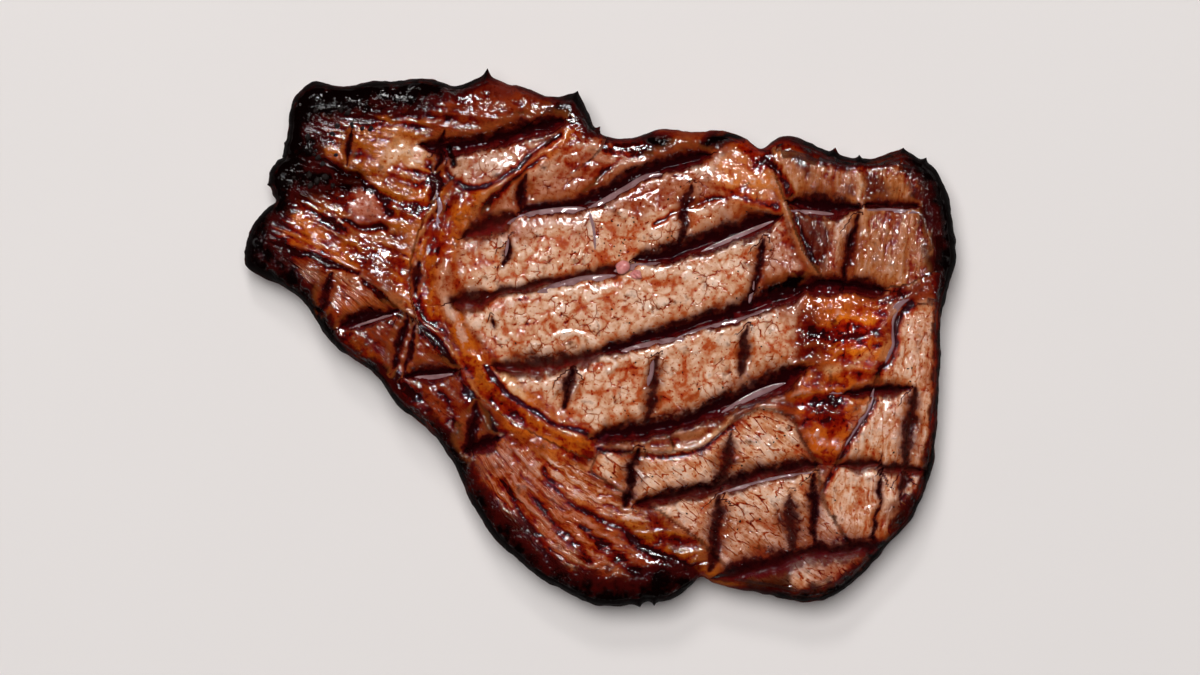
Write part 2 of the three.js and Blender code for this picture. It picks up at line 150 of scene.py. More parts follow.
# Marks of the bars that cross them
CROSSING_MARKS = [
    ([(-66.5, 16, 1.1), (-68, 10.6, 1.6), (-70.3, 5, 1.2)], 1.1, 1.0),
    ([(-38.9, 51.5, 1), (-39.3, 48, 1.6), (-40.2, 42, 1)], 1.2, 1.0),
    ([(-39.8, 34.9, 0.9), (-39.8, 31, 1.3)], 1.0, 1.0),
    ([(-45, 18.9, 1), (-45.8, 14.9, 1.4), (-45.6, 11, 0.9)], 1.0, 1.0),
    ([(-48, 5.5, 1), (-49.6, -1, 1.4), (-51.8, -8.6, 1.2)], 1.2, 1.0),
    ([(-45.6, 5, 0.6), (-46.6, -2, 0.8), (-48.4, -9, 0.8)], 1.0, 0.9),
    ([(-18.6, 40.6, 1), (-19.6, 35, 1.4), (-20.3, 30.6, 1)], 1.1, 0.9),
    ([(-22.3, 24.4, 1.2), (-23, 20.5, 1.4), (-24, 17.4, 0.8)], 0.9, 0.75),
    ([(-30.3, -16, 1), (-31.4, -22, 2.2), (-33, -30.4, 1.6)], 1.1, 1.0),
    ([(-6.4, -7.6, 1.4), (-7.6, -12, 1.7), (-9, -17.4, 1)], 1.3, 0.8),
    ([(22.4, 37.4, 1.2), (21.4, 33, 1.6), (20.6, 28, 1.4), (19.6, 22.4, 1.2)], 1.0, 0.6),
    ([(14.2, -4.6, 1.2), (13, -12.6, 1.5), (11.4, -21, 1.5)], 1.5, 0.45),
    ([(9.4, -27.6, 1.2), (7.8, -34, 1.9), (6.6, -42, 1.8)], 1.2, 0.9),
    ([(40.9, 24.6, 1), (39.2, 16.4, 1.4), (37, 8, 1.2)], 1.4, 0.8),
    ([(36.4, 2.6, 1), (35.6, -4, 1.2), (34.4, -10.6, 1)], 1.3, 0.5),
    ([(32.4, -24, 1.2), (31.4, -30, 2.2), (30, -37.5, 2.3)], 0.9, 0.4),
    ([(29.8, -39.5, 1.6), (28.8, -48, 2.1), (27.6, -57, 1.6)], 1.1, 0.5),
    ([(63.9, 30.4, 1.1), (61.6, 20, 1.5), (60, 12, 1.5)], 1.2, 0.75),
    ([(53, -34, 1.2), (52.6, -42, 1.6), (52.8, -50.6, 1.1)], 1.3, 1.0),
    ([(47.4, -39, 1.4), (47.2, -45, 2.6), (48.4, -53, 1.8)], 0.4, 0.3),
    ([(77.9, -12.6, 1.1), (76.8, -22, 1.9), (75.6, -32, 1.6), (74.6, -40, 0.9)], 0.9, 0.45),
    ([(69.4, -29, 0.5), (69.2, -40.6, 0.7), (66.8, -51, 0.6)], 0.9, 0.9),
    ([(-61.6, 52, 0.5), (-62.6, 46, 0.9), (-63, 42.6, 0.5)], 0.8, 1.0),
    ([(-26.9, 4.6, 0.8), (-26.4, 2.4, 0.9)], 0.9, 1.0),
]

# How many half widths across a mark its colours reach: char, and on the side in shade painted shade
ACROSS_LIMIT = 3.0
# A rising mark: between which half widths its floor sinks in on the shaded side and its lip rises on the
# lit one, the share of the width at its ends and the length over which that is made up, and how the meat
# sags towards it
SHADED_SIDE, LIT_LIP = (-1.6, -0.6), (0.8, 1.35)
RISING_ENDS = (0.55, 2.5)
STRIP_SAG, STRIP_SAG_WIDTH = 0.6, 3.6
# Fat that gleams beyond a rising mark's lip: where the lip ends in half widths, how far on it gleams, and
# how wide. There it is glossier, and its colour is paled as a painted sheen
LIP_PLACE, GLEAM_PLACE, GLEAM_WIDTH = 1.2, 1.0, 2.6
# A crossing mark: the share of its depth that its soft trough keeps, its ends as above, how much narrower
# it is, and how far its colours are shifted to the shaded side
CROSSING_DEPTH = 0.6
CROSSING_ENDS = (0.5, 3)
CROSSING_NARROWER, CROSSING_SHIFT = 1.1, 0.3

# Grooves where one muscle meets the next: x, y and half width, then depth
SEAMS = [
    ([(-79.3, 44.9, 0.9), (-72.6, 44.4, 0.8), (-63.8, 41.4, 0.7), (-56, 36, 0.7), (-52, 30.9, 0.6)], 1.2),
    ([(-63, 29.4, 0.4), (-58.8, 27.6, 0.7), (-52.8, 27.4, 0.5)], 1.2),
    ([(-43, 44.1, 0.5), (-41, 38.9, 0.7), (-42, 29.4, 0.6), (-45, 23.6, 0.5)], 1.0),
    ([(-38, 41.4, 0.6), (-32.6, 36.9, 0.6), (-25.8, 38.4, 0.6), (-15, 46.9, 0.7), (-10, 50, 0.6)], 1.0),
    ([(-85.6, 21.8, 0.7), (-79, 22.4, 1), (-72.3, 20.2, 0.7), (-65, 17.6, 0.6), (-59.6, 15.6, 0.5)], 1.1),
    ([(-59, 14.4, 0.4), (-54, 10.6, 0.6), (-50.4, 6.4, 0.7), (-44, 2.6, 0.7), (-38.3, -3, 0.8),
      (-34, -10, 0.8), (-29.8, -17, 0.9), (-26.3, -24, 0.7)], 1.2),
    ([(-55.6, -6.9, 0.5), (-49.8, -11.4, 0.6), (-44, -15.4, 0.7), (-38.8, -21.9, 0.7)], 1.0),
    ([(-13.8, -33.1, 0.5), (-9.6, -38.6, 0.6), (-0.3, -44.9, 0.7), (5, -47.4, 0.8), (10.7, -52.4, 0.8),
      (19.7, -55.9, 0.6), (25, -59.4, 0.8)], 1.2),
    ([(-24, -36, 0.5), (-19, -45, 0.7), (-14, -52, 0.7), (-8, -59, 0.5)], 1.0),
    ([(-18, -38, 0.4), (-11, -46, 0.7), (-6.5, -51, 1.1), (-3, -56, 0.6)], 1.2),
    ([(-4.6, -47, 0.5), (1, -52, 1.1), (6, -56.4, 0.9), (10, -58, 0.5)], 1.3),
    ([(77.4, 8.4, 0.7), (74.7, 6.1, 0.6), (73.4, 2.9, 0.6), (73.2, -2.1, 0.6), (72, -5.9, 0.6),
      (69.4, -8.6, 0.6), (68.4, -12.9, 0.5), (67.2, -17.6, 0.5), (62, -25.4, 0.5), (59.2, -30.9, 0.5),
      (55.4, -37.9, 0.5)], 0.8),
    ([(40.2, 44.1, 0.4), (44.6, 40, 0.6), (47.4, 33.9, 0.6), (50, 25.6, 0.5), (52.6, 19, 0.4)], 0.9),
    ([(13.2, 27.6, 0.3), (18, 30.6, 0.4), (24, 33.4, 0.5), (31, 34.6, 0.4)], 0.7),
    ([(-13.5, 44.9, 0.4), (-20, 40, 0.5), (-25.8, 35.6, 0.6), (-29.8, 29, 0.7)], 0.9),
    ([(-6, 33.8, 0.3), (0, 40, 0.4), (4.6, 44.4, 0.3)], 0.5),
    ([(-28.5, -7, 0.5), (-22, -14.6, 0.5), (-12, -20.6, 0.5), (-2, -24.4, 0.5)], 0.8),
    ([(0.2, -27.4, 0.4), (9.2, -29.1, 0.5), (17.4, -29.4, 0.4), (26, -27, 0.4), (32.6, -21.4, 0.4)], 0.7),
]

# Cords of fat and gristle that stand up along the muscles' edges: x, y and half width, then rise
FAT_RIDGES = [
    ([(-9, 48.6, 1.2), (-13.8, 44.9, 1.6), (-25.8, 38, 2), (-34, 31, 2.2), (-37.4, 24, 2.2),
      (-38.2, 16, 2.1), (-36.4, 6, 1.8), (-33, -0.6, 1.6), (-28, -8, 1.8), (-22, -13.4, 2.2),
      (-14, -19.6, 1.8), (-4, -25.4, 1.4)], 0.9),
    ([(0.2, -25.4, 0.7), (9.2, -27.4, 0.6), (17.4, -27.9, 0.6), (24.7, -26.4, 0.6), (30, -22.8, 0.6),
      (34, -18.9, 0.6), (40.2, -16.9, 0.6), (46, -18, 0.5), (49.6, -20.6, 0.4)], 1.0),
    ([(9, -26, 0.4), (14.4, -24.6, 0.5), (20.6, -23.4, 0.5), (26, -20.8, 0.4)], 0.7),
    ([(39.4, 44.6, 0.5), (42.4, 40.4, 0.6), (45.4, 33.9, 0.6), (48, 25.6, 0.6), (51, 19.1, 0.5),
      (54, 15, 0.5), (58, 11.9, 0.4)], 0.9),
    ([(63, 42.6, 0.4), (64.5, 38.1, 0.6), (64.2, 34.4, 0.5), (66, 31.6, 0.5), (72.7, 32.2, 0.4),
      (79.2, 30.8, 0.5), (81, 26.4, 0.6), (83, 19.1, 0.5)], 0.7),
    ([(-60, 56.2, 0.4), (-53.3, 54.8, 0.5), (-48.8, 56, 0.5), (-45.4, 59, 0.4)], 0.8),
    ([(-44.4, 56, 0.4), (-43.6, 53.6, 0.5), (-40.4, 53.4, 0.5), (-37.2, 57, 0.5), (-36.8, 61, 0.4)], 0.7),
    ([(-62.4, 38.6, 0.4), (-58.8, 38.3, 0.5), (-55, 35, 0.5), (-52, 31.6, 0.4)], 0.7),
    ([(-77.6, 23.4, 0.4), (-71.3, 21.4, 0.5), (-65.3, 18.9, 0.5), (-60, 16.8, 0.4)], 0.7),
    ([(-59, 15.6, 0.4), (-54.2, 12.1, 0.5), (-50.6, 8, 0.5), (-44.4, 3.9, 0.6), (-38.4, -1.6, 0.6),
      (-34.2, -8, 0.6), (-30.2, -14.6, 0.5), (-26.4, -22, 0.5), (-22.4, -28.4, 0.4)], 0.8),
    ([(-62.4, 2.6, 0.3), (-57.6, 4.6, 0.4), (-51.4, 6.2, 0.4)], 0.9),
    ([(-6.6, -8, 0.3), (-2.8, -5.8, 0.4), (2.4, -5.4, 0.4), (4, -6.8, 0.4), (1.8, -8.4, 0.3)], 0.7),
    ([(-12.4, 0, 0.3), (-7.6, 1.2, 0.4), (-4.4, 0.6, 0.4), (-0.6, -1.4, 0.3)], 0.6),
    ([(46.8, -14.8, 0.4), (50, -13.2, 0.5), (54, -12.9, 0.4), (56.4, -13.4, 0.4)], 0.8),
    ([(-46, 22.6, 0.4), (-43.6, 27, 0.6), (-41.6, 31.6, 0.5)], 0.8),
    ([(-30.8, 27.6, 0.3), (-27.6, 33, 0.4), (-26.2, 35.6, 0.3)], 0.5),
    ([(-19.6, 42, 0.4), (-14.2, 46.4, 0.4), (-8, 50.6, 0.4)], 0.5),
]

# Swellings of the upper face: x, y, half length, half width and rise
SWELLINGS = {
    "rolled rim of char": (-53.8, 59.4, 11, 4, 1.2),
    "blister": (-40.6, 57.6, 5, 6, 1.0),
    "upper lump": (-25, 56.4, 14, 5, 1.3),
    "tan pillow": (-28, 42.4, 11, 5, 1.2),
    "pink knob": (-58, 32.4, 5, 4, 1.1),
    "pale fat": (-50, 45.6, 8, 5, 0.6),
    "tip pillow": (-72.6, 17.4, 6.5, 5, 1.2),
    "first cap pillow": (-58.8, 11.9, 6, 5, 1.3),
    "second cap pillow": (-54.3, 0.6, 4.5, 5.5, 1.2),
    "third cap pillow": (-43.8, -2.6, 5.5, 6, 1.3),
    "fourth cap pillow": (-40, -15.6, 5, 6, 1.2),
    "kernel of fat": (60, -2, 11, 13, 1.0),
    "lower kernel": (56, -23, 7, 10, 0.7),
    "right shoulder": (50, 43, 8, 5, 0.8),
    "cap end": (13.7, -61, 10, 5, 1.4),
    "cap strand": (-6.3, -56, 5, 7, 1.0),
}

# Width of the burnt edge at places round the outline: x, y and width
CHAR_EDGE = [
    (-79.3, 45, 7), (-77.8, 56.5, 8), (-71.8, 64, 7.5), (-57, 64, 4.5), (-43.5, 65, 4.5), (-34.8, 62.9, 2),
    (-23.3, 63.4, 0.6), (-11, 60, 1.2), (-2.8, 56, 2.6), (3.7, 49.6, 0.2), (14.5, 52, 0.3), (31, 51.4, 0.3),
    (40.2, 47, 0.1), (47.5, 50.2, 1.4), (57.2, 46, 2.6), (67, 44.5, 2), (75.4, 47, 3.6), (84, 42, 6),
    (88.3, 23, 4.5), (85.4, 6.6, 1.8), (84.4, -12.6, 1.6), (82.6, -33.4, 2), (75, -48.6, 2.8),
    (62.4, -61.6, 3), (50, -65.9, 2.6), (35.7, -63.4, 0.8), (25, -60, 0.4), (17.2, -65.5, 5.5),
    (5, -66.8, 5.5), (-9.8, -63, 5.4), (-25.7, -50.4, 5), (-34, -36.4, 4), (-47, -19.8, 2.6),
    (-61.6, -5.6, 2.2), (-73, 7.5, 3), (-79.6, 13, 4), (-88.3, 24.6, 5.5), (-83, 32.4, 4.5),
    (-82.8, 40.6, 5),
]

# Burnt patches away from the edge: line of x, y and half width
CHAR_PATCHES = [
    [(-77, 44, 6), (-75, 57, 8), (-66, 60, 6.5), (-58, 61, 5), (-46, 60.4, 4), (-40, 62, 2.4)],
    [(-82, 20.5, 2.5), (-76, 14, 2), (-70, 7, 1.2)],
    [(-81, 39, 4.5), (-75, 40, 3.4), (-68, 39, 1.6)],
    [(12, 48.4, 1), (16, 48.6, 1.4)],
    [(26, 47.2, 1.5), (30, 49.4, 1.8), (35, 50.2, 1)],
    [(15, -60.6, 3.4), (21, -60.6, 2.6)],
    [(-28.4, 69, 1.8), (-28.6, 64.8, 1.2)],
    [(86.5, 36, 3), (87.5, 22, 3.4), (84.6, 12, 1.4)],
    [(-36, 42.5, 0.5), (-37.6, 47, 1.2)],
    [(42, 12.4, 1.6), (50, 14.6, 1.4)],
]

# Kinds of crust and fat, sRGB
HUES = {
    "cap brown": "#702408",
    "cap strand": "#98420E",
    "lean pale": "#C69C82",
    "lean tan": "#B08268",
    "lean golden": "#BE8866",
    "lean speckled": "#B87E5A",
    "lean brown": "#96563A",
    "shoulder brown": "#96572E",
    "amber": "#A24C0C",
    "amber bright": "#B0622A",
    "amber dark": "#8C4408",
    "orange": "#A2480E",
    "orange bright": "#CC6810",
    "fat tan": "#925630",
    "fat pale": "#BC8A60",
    "fat core": "#A07058",
    "burgundy": "#4A100D",
    "burgundy dark": "#220403",
    "pink": "#A4604C",
    "wall": "#63301C",
}

# Painted stretches, in order: name, hue, how strongly, softness of the edge, and the outline of each
ZONES = [
    ("upper lump", "cap brown", 0.9, 2,
     [(-39, 59.5), (-30, 62.5), (-17.5, 62), (-6, 59.5), (-2.5, 53), (-10, 52), (-20, 49.5),
      (-37.5, 49.5)]),
    ("upper lump's slope", "burgundy", 0.75, 1.5,
     [(-41, 60), (-31, 66), (-23, 70), (-11, 65), (-1, 58), (-1, 53), (-7, 56.5), (-18, 59.5), (-30, 60)]),
    ("upper fat", "amber dark", 0.95, 2,
     [(-70.5, 55), (-60, 54), (-51, 55), (-44, 53), (-40, 43), (-41, 34.5), (-45, 24.5), (-49, 23),
      (-51, 30.5), (-56, 37), (-64, 42), (-70, 45.5)]),
    ("upper fat gleam", "amber bright", 0.45, 3,
     [(-54, 52), (-45, 52), (-42, 45), (-44, 36), (-48, 34), (-50, 40), (-56, 42)]),
    ("pale fat", "fat pale", 0.85, 2,
     [(-52.5, 47), (-50, 50), (-44, 49.5), (-43, 45.5), (-49, 42.5), (-54, 41), (-54.5, 43)]),
    ("second lobe", "burgundy dark", 0.95, 2,
     [(-75, 44.5), (-64, 43), (-57.5, 39.5), (-57, 36.5), (-62.5, 34.5), (-75, 33), (-80, 34.5)]),
    ("between lobes", "amber dark", 0.8, 2,
     [(-75, 33), (-67.5, 33), (-62.5, 34.5), (-62, 29), (-54, 25), (-51, 19), (-57.5, 20.5), (-66, 24.5),
      (-74, 29)]),
    ("pink knob", "pink", 0.85, 1.5,
     [(-62.5, 34), (-59, 36), (-55, 34), (-53.5, 30), (-56, 28.5), (-61, 29.5)]),
    ("below the knob", "fat tan", 0.8, 1.2, [(-62, 27.5), (-53, 27), (-52, 24.5), (-57, 23), (-60.5, 25)]),
    ("tip band", "amber", 0.85, 1.5,
     [(-85.5, 29), (-75, 30.5), (-69, 26.5), (-62.5, 22), (-59.5, 16.5), (-67.5, 19), (-75, 23),
      (-84.5, 22.5)]),
    ("tip pillow", "cap brown", 0.9, 1.5, [(-78.5, 20), (-70, 19), (-66, 14), (-68, 11), (-75, 12)]),
    ("first cap pillow", "cap strand", 0.8, 1.5, [(-65, 16), (-56, 11), (-52, 7), (-60, 7), (-66, 9)]),
    ("cap side", "amber dark", 0.7, 1.5,
     [(-67.5, 0.5), (-62.5, 2), (-56, -4.5), (-50, -12), (-45, -17), (-49, -18.5), (-54, -13.5), (-61, -6),
      (-66, -2)]),
    ("outer fat band", "amber", 0.9, 2,
     [(-45, 37), (-37.5, 34.5), (-40, 24.5), (-40.5, 12), (-37.5, 2), (-30, -8), (-20, -18.5), (0, -27),
      (-10, -29.5), (-22.5, -22), (-30.5, -14.5), (-37, -3), (-44, 4.5), (-51, 11.5), (-50, 19),
      (-46, 25.5)]),
    ("tan pillow", "lean tan", 0.9, 1.2,
     [(-37.5, 43), (-32.5, 45.5), (-25, 47), (-15, 49.5), (-11, 50.5), (-16, 45.5), (-24, 40), (-30, 37.5),
      (-34.5, 38)]),
    ("eye", "lean pale", 1.0, 1.5,
     [(-32.5, 30.5), (-25, 34.5), (-20, 40.5), (-10, 48), (0, 49.5), (12.5, 46), (25, 44), (30, 44.5),
      (41, 41.5), (44, 30.5), (47.5, 22), (50, 12), (50, 2), (47.5, -8), (40, -14.5), (25, -20.5),
      (10, -24.5), (0, -24.5), (-10, -20.5), (-17.5, -14.5), (-25, -7), (-31, -0.5), (-35, 7), (-36.5, 17),
      (-35, 25.5)]),
    ("eye's upper edge", "lean brown", 0.4, 2.5,
     [(-15, 47), (0, 51.5), (12.5, 51), (22.5, 47.5), (15, 42.5), (5, 41), (0, 42), (-10, 40.5),
      (-17.5, 38)]),
    ("eye's upper part", "lean brown", 0.95, 3,
     [(-31, 30), (-18, 40), (0, 45), (20, 44), (40, 40), (43, 30), (20, 33), (0, 29), (-33, 21)]),
    ("upper rind", "cap brown", 0.65, 1.5,
     [(3, 51), (16, 53), (30, 52), (38, 49), (26, 47.5), (14, 46.5), (2, 47.5)]),
    ("amber cheek", "amber bright", 0.95, 2,
     [(28.5, 43), (36, 46), (41, 43), (44.5, 35), (45, 30.5), (40, 30.5), (34, 33), (27.5, 38)]),
    ("amber cheek's edge", "amber", 0.9, 1.2,
     [(33, 50), (37.5, 48.5), (42, 44), (46, 34), (44.6, 33), (40, 43), (34, 47)]),
    ("right of the eye", "lean brown", 0.85, 2,
     [(39, 29), (46.5, 25), (50, 13), (50, 2), (44, 5), (38, 15)]),
    ("right shoulder", "shoulder brown", 1.0, 1.2,
     [(42.5, 47), (50, 44.5), (62.5, 43), (75, 43), (82.5, 40.5), (85, 27), (84, 17), (76, 13), (67.5, 12),
      (55, 14.5), (50, 22), (46.5, 32), (43.5, 39.5)]),
    ("shoulder fibres", "lean tan", 0.45, 2, [(58, 28), (63, 27), (60, 16), (56, 16)]),
    ("shoulder streaks", "fat tan", 0.4, 2, [(66, 30), (74, 30), (76, 18), (68, 14), (64, 18)]),
    ("shoulder's dark left", "burgundy", 0.9, 1.2,
     [(49, 30.5), (54, 30), (56.5, 26), (55.5, 17.5), (51.5, 17.5)]),
    ("shoulder's dark right", "burgundy dark", 0.92, 1.5,
     [(78.5, 31.5), (80.5, 44), (87, 42), (87, 16), (81.5, 16), (79.5, 24)]),
    ("shoulder's red spot", "burgundy", 0.85, 1.5, [(64.5, 41.5), (70, 40.5), (72, 34), (65.5, 33)]),
    ("shoulder's upper spot", "burgundy", 0.9, 1.2,
     [(48.5, 43.5), (52.5, 42.5), (53.5, 39.5), (50.5, 39.5)]),
    ("shoulder's small spot", "burgundy", 0.85, 1.0, [(60, 38.5), (63, 38), (63.5, 35), (61, 34.5)]),
    ("kernel", "orange", 1.0, 1.5,
     [(50, 9.5), (60, 11), (70, 9.5), (72.5, 4.5), (71.5, -3), (68, -10.5), (66.5, -17), (62.5, -23),
      (59.5, -29.5), (54, -30.5), (50, -23), (47.5, -15.5), (49, -3)]),
    ("kernel's bright spot", "orange bright", 0.9, 3, [(60, 4), (68, 5), (70, -2), (66, -6), (60, -4)]),
    ("kernel's dark side", "burgundy", 0.7, 3, [(49, 8), (54, 9), (56, -6), (54, -12), (48, -6)]),
    ("kernel's dark patch", "burgundy", 0.75, 1.5,
     [(53, -14), (57, -13), (59, -17), (57.5, -21), (54, -20)]),
    ("dark patch by the kernel", "burgundy", 0.75, 1.2,
     [(44, -23), (47, -21.5), (49.5, -24), (48, -26), (45, -25.5)]),
    ("right column", "lean speckled", 1.0, 1.5,
     [(75, 7), (84, 9.5), (84, -15.5), (84, -28), (81, -38), (72.5, -50.5), (65, -52), (59, -50.5),
      (55, -38), (61, -25.5), (66, -18), (68, -10.5), (72.5, -3)]),
    ("lower lean", "lean golden", 1.0, 1.5,
     [(0, -28), (15, -28.5), (25, -27.5), (34, -20), (40, -17.2), (47.5, -19.5), (50, -25.5), (54, -32),
      (55, -40.5), (62.5, -52), (69, -52), (62.5, -59.5), (50, -63), (35, -60.5), (30, -55.5), (25, -50.5),
      (15, -43), (5, -38), (-2.5, -33)]),
    ("lower amber", "amber dark", 0.9, 1.5,
     [(6, -42.5), (15, -45), (24, -50), (30, -56.5), (40, -59), (50, -63), (48, -66), (35, -63.5),
      (25, -59.5), (15, -54), (6, -48)]),
    ("lower lean's lower part", "lean brown", 0.6, 3,
     [(18, -44), (32, -42), (50, -43), (64, -47), (66, -56), (50, -62), (36, -60), (28, -54)]),
    ("dark corner", "burgundy", 0.8, 1.5, [(70, -41), (75.5, -38.5), (79, -40), (77, -45), (72, -45)]),
    ("lower edge's dark", "burgundy dark", 0.9, 1.5,
     [(33, -55), (47, -54.5), (48.5, -60), (49, -66), (43, -66.5), (34, -62)]),
    ("lower corner", "lean brown", 0.6, 3,
     [(56, -52), (68, -50), (76, -44), (72, -52), (60, -62), (48, -64)]),
    ("right edge", "lean brown", 0.7, 2,
     [(82, 8), (86, 8), (84.6, -26), (80, -42), (76, -38), (80, -26), (81, -10)]),
    ("cap's lower strands", "cap strand", 0.85, 2.5,
     [(-33, -29), (-24, -25), (-12, -30), (-8, -38), (0, -45), (10, -53), (4, -58), (-10, -60),
      (-22, -48)]),
    ("cap's amber", "amber bright", 0.75, 2,
     [(-17.5, -28), (-5, -31), (0, -35.5), (10, -41.5), (12.5, -46.5), (5, -45.5), (-2.5, -42), (-10, -38),
      (-16, -33)]),
    ("strand's glossy spot", "fat tan", 0.8, 1.2,
     [(-8, -51), (-4, -52), (-1, -57), (-5, -59.5), (-8, -57)]),
    ("cap's dark rim", "burgundy dark", 0.85, 1.5,
     [(-31, -37), (-34, -44), (-22, -58), (-8, -68), (14, -69), (25, -64), (25, -57), (8, -55), (5, -59),
      (-5, -60.5), (-15, -54), (-24, -43)]),
]

# Bands of fat, painted over them: hue, how strongly, softness of the edge, and a line of x, y and half
# width
BANDS = [
    ("amber", 0.95, 1.0,
     [(-7, 50.5, 1.6), (-13.8, 45.4, 1.9), (-20, 41.2, 2), (-27, 37, 2.6), (-33, 31.5, 3), (-37, 25, 3),
      (-38, 17, 3), (-37, 8, 2.6), (-33, -0.4, 2.4), (-27, -8, 2.6), (-20, -14.6, 2.8), (-10, -21.4, 2.6),
      (0, -25.4, 1.6)]),
    ("fat core", 0.75, 1.2, [(-38.6, 19, 1), (-38.4, 12, 1.6), (-36.4, 4, 1)]),
    ("fat tan", 0.6, 1.0, [(-31, 31, 1), (-27, 35.6, 1.4), (-22, 39.6, 0.9)]),
    ("fat pale", 0.9, 0.8, [(-27.6, -6.6, 1), (-23.4, -11, 1.9), (-19.4, -15, 1.2)]),
    ("fat tan", 0.8, 0.8,
     [(-16, -18.6, 0.9), (-6, -23.2, 1), (6, -25.6, 1), (18, -25.6, 1.6), (25, -22.6, 1.2)]),
    ("fat pale", 0.5, 0.8, [(4, -27, 0.6), (17, -27.9, 0.6), (26, -25.6, 0.6), (33, -19.6, 0.6)]),
    ("fat tan", 0.5, 0.8,
     [(39.6, 45, 0.8), (43, 40, 1), (46, 33, 0.9), (48.4, 25.6, 0.9), (52, 18, 0.9), (58, 12, 0.7)]),
    ("fat pale", 0.55, 0.8, [(62.8, 43, 0.5), (64.6, 38, 0.8), (64.2, 34.4, 0.6)]),
    ("fat tan", 0.8, 0.6, [(80.6, 28, 0.7), (82.4, 21, 0.9)]),
    ("fat core", 0.8, 0.8, [(70, 11.6, 0.9), (73.4, 9.4, 1.8), (72.6, 6, 1.2)]),
    ("fat tan", 0.8, 0.8, [(71, 2, 0.9), (70, -6, 1.2), (67, -12, 1)]),
    ("fat pale", 0.7, 0.8, [(56, -8.4, 0.8), (63, -6.4, 1), (67, -4, 0.6)]),
    ("fat tan", 0.7, 0.8, [(-43.6, 40, 0.6), (-41, 33, 0.9), (-43.6, 26.6, 0.9), (-47, 22, 0.6)]),
    ("fat tan", 0.6, 0.8,
     [(-59, 15, 0.7), (-50.6, 7.6, 1), (-41, 1, 1), (-34, -8.4, 0.9), (-27, -20, 0.8)]),
    ("fat tan", 0.55, 0.8, [(-66, 15.5, 0.8), (-58, 12.6, 1.4), (-50, 8.8, 1.2), (-44, 4.2, 0.8)]),
    ("fat tan", 0.5, 0.8, [(-80, 18.6, 0.6), (-74, 17, 1.3), (-68, 14.6, 0.8)]),
    ("fat core", 0.6, 1.0, [(-29, 38.6, 0.8), (-22, 41.6, 0.8), (-14, 47.8, 0.7)]),
]

# Juice that lies in the marks and seams: line of x, y and half width, and how thick
JUICE = [
    ([(-23, 28.2, 0.8), (-17.6, 30, 1.1), (-10, 31.2, 1.1), (-3.3, 31.8, 0.9)], 0.5),
    ([(-3, 32, 0.6), (0.7, 33.4, 1), (6.2, 36.4, 1.1), (11.7, 39.6, 1), (15.5, 40.6, 0.5)], 0.6),
    ([(-2.6, 31, 0.4), (-1.5, 26.5, 0.4), (-1.2, 21.6, 0.3)], 0.4),
    ([(-22.6, 24.4, 0.2), (-23, 22, 0.4), (-23.4, 20, 0.2)], 0.4),
    ([(-15.6, 11.2, 0.7), (-10, 12.6, 1.2), (-4.6, 13.9, 1.3), (0, 14.7, 0.9), (4, 15.4, 0.6)], 0.6),
    ([(3.4, 16.4, 0.6), (8, 17.2, 1), (12, 17.8, 0.8), (15, 18.6, 0.4)], 0.6),
    ([(5.2, -3.4, 0.6), (12.4, -2, 1.1), (20.7, -0.4, 1)], 0.6),
    ([(19, 0, 0.5), (25, 1.9, 0.7), (35, 4.4, 0.7), (42.5, 7.4, 0.5)], 0.5),
    ([(30, -18.6, 0.4), (36.2, -15.2, 0.8), (42, -12.6, 0.8), (46, -11.2, 0.4)], 0.5),
    ([(13.2, -5.6, 0.5), (12.4, -9.6, 0.7), (11.8, -12, 0.4)], 0.4),
    ([(29, -38.8, 0.4), (38.4, -36.2, 0.5), (45.7, -34.5, 0.5), (52.7, -33.4, 0.3)], 0.5),
    ([(24.9, 21.2, 0.4), (32.4, 24.4, 0.6), (39.9, 27.6, 0.5), (43, 28.9, 0.3)], 0.5),
    ([(46.7, 31.4, 0.3), (52, 31, 0.6), (58, 30.6, 0.4)], 0.4),
    ([(65.7, 31.6, 0.3), (70, 31.6, 0.5), (76.2, 31.2, 0.5), (79.2, 30.9, 0.3)], 0.4),
    ([(38.1, 14, 0.3), (37.5, 11, 0.5), (36.9, 8.4, 0.4)], 0.4),
    ([(76.6, 9.6, 0.4), (73.6, 7.6, 1), (72.2, 3.2, 0.6), (72.4, -2, 0.6), (70.6, -6.4, 0.4)], 0.5),
    ([(67.9, -12.6, 0.4), (66.4, -17.6, 0.6), (63.6, -22, 0.5), (60.6, -27, 0.3)], 0.4),
    ([(-50, 6.1, 0.3), (-56, 4.4, 0.5), (-61, 2.6, 0.3)], 0.4),
    ([(-46, -9.8, 0.3), (-41.3, -9.8, 0.6), (-36.4, -9, 0.3)], 0.4),
    ([(-40.6, 37, 0.3), (-39.6, 32, 0.6), (-40.6, 27, 0.4)], 0.4),
    ([(54, -13.8, 0.3), (57, -13.4, 0.7), (60, -13.8, 0.4)], 0.4),
]

# How a pool of juice is made: its step along and columns across, how narrow its tips are, over how many
# steps its level is evened out, at what share of the fill it stands, how far its edges rise and then dip
# into the meat, and how far it all sinks in
POOL_STEP, POOL_COLUMNS = 0.35, 11
POOL_TIP = 0.003
POOL_LEVELLING, POOL_LEVEL = 6, 0.4
POOL_EDGE_RISE, POOL_EDGE_DIP = 0.1, 0.08
POOL_SINK = 0.6

# Crumbs of fat: x, y and half width
CRUMBS = [(5.3, 17.8, 2.0), (8.8, 15.4, 1.4)]

# Pepper: the middle of the specks that lie together, how far they spread and how many they are, then the
# area where others are strewn and how many, of which those on the lean stay, and the half widths of all
PEPPER_CLUMP, PEPPER_CLUMP_SPREAD, PEPPER_IN_CLUMP = (3, 25), (3.4, 3), 16
PEPPER_AREA, PEPPER_STREWN = ((-28, -55), (80, 40)), 260
PEPPER_SIZES = (0.13, 0.3)

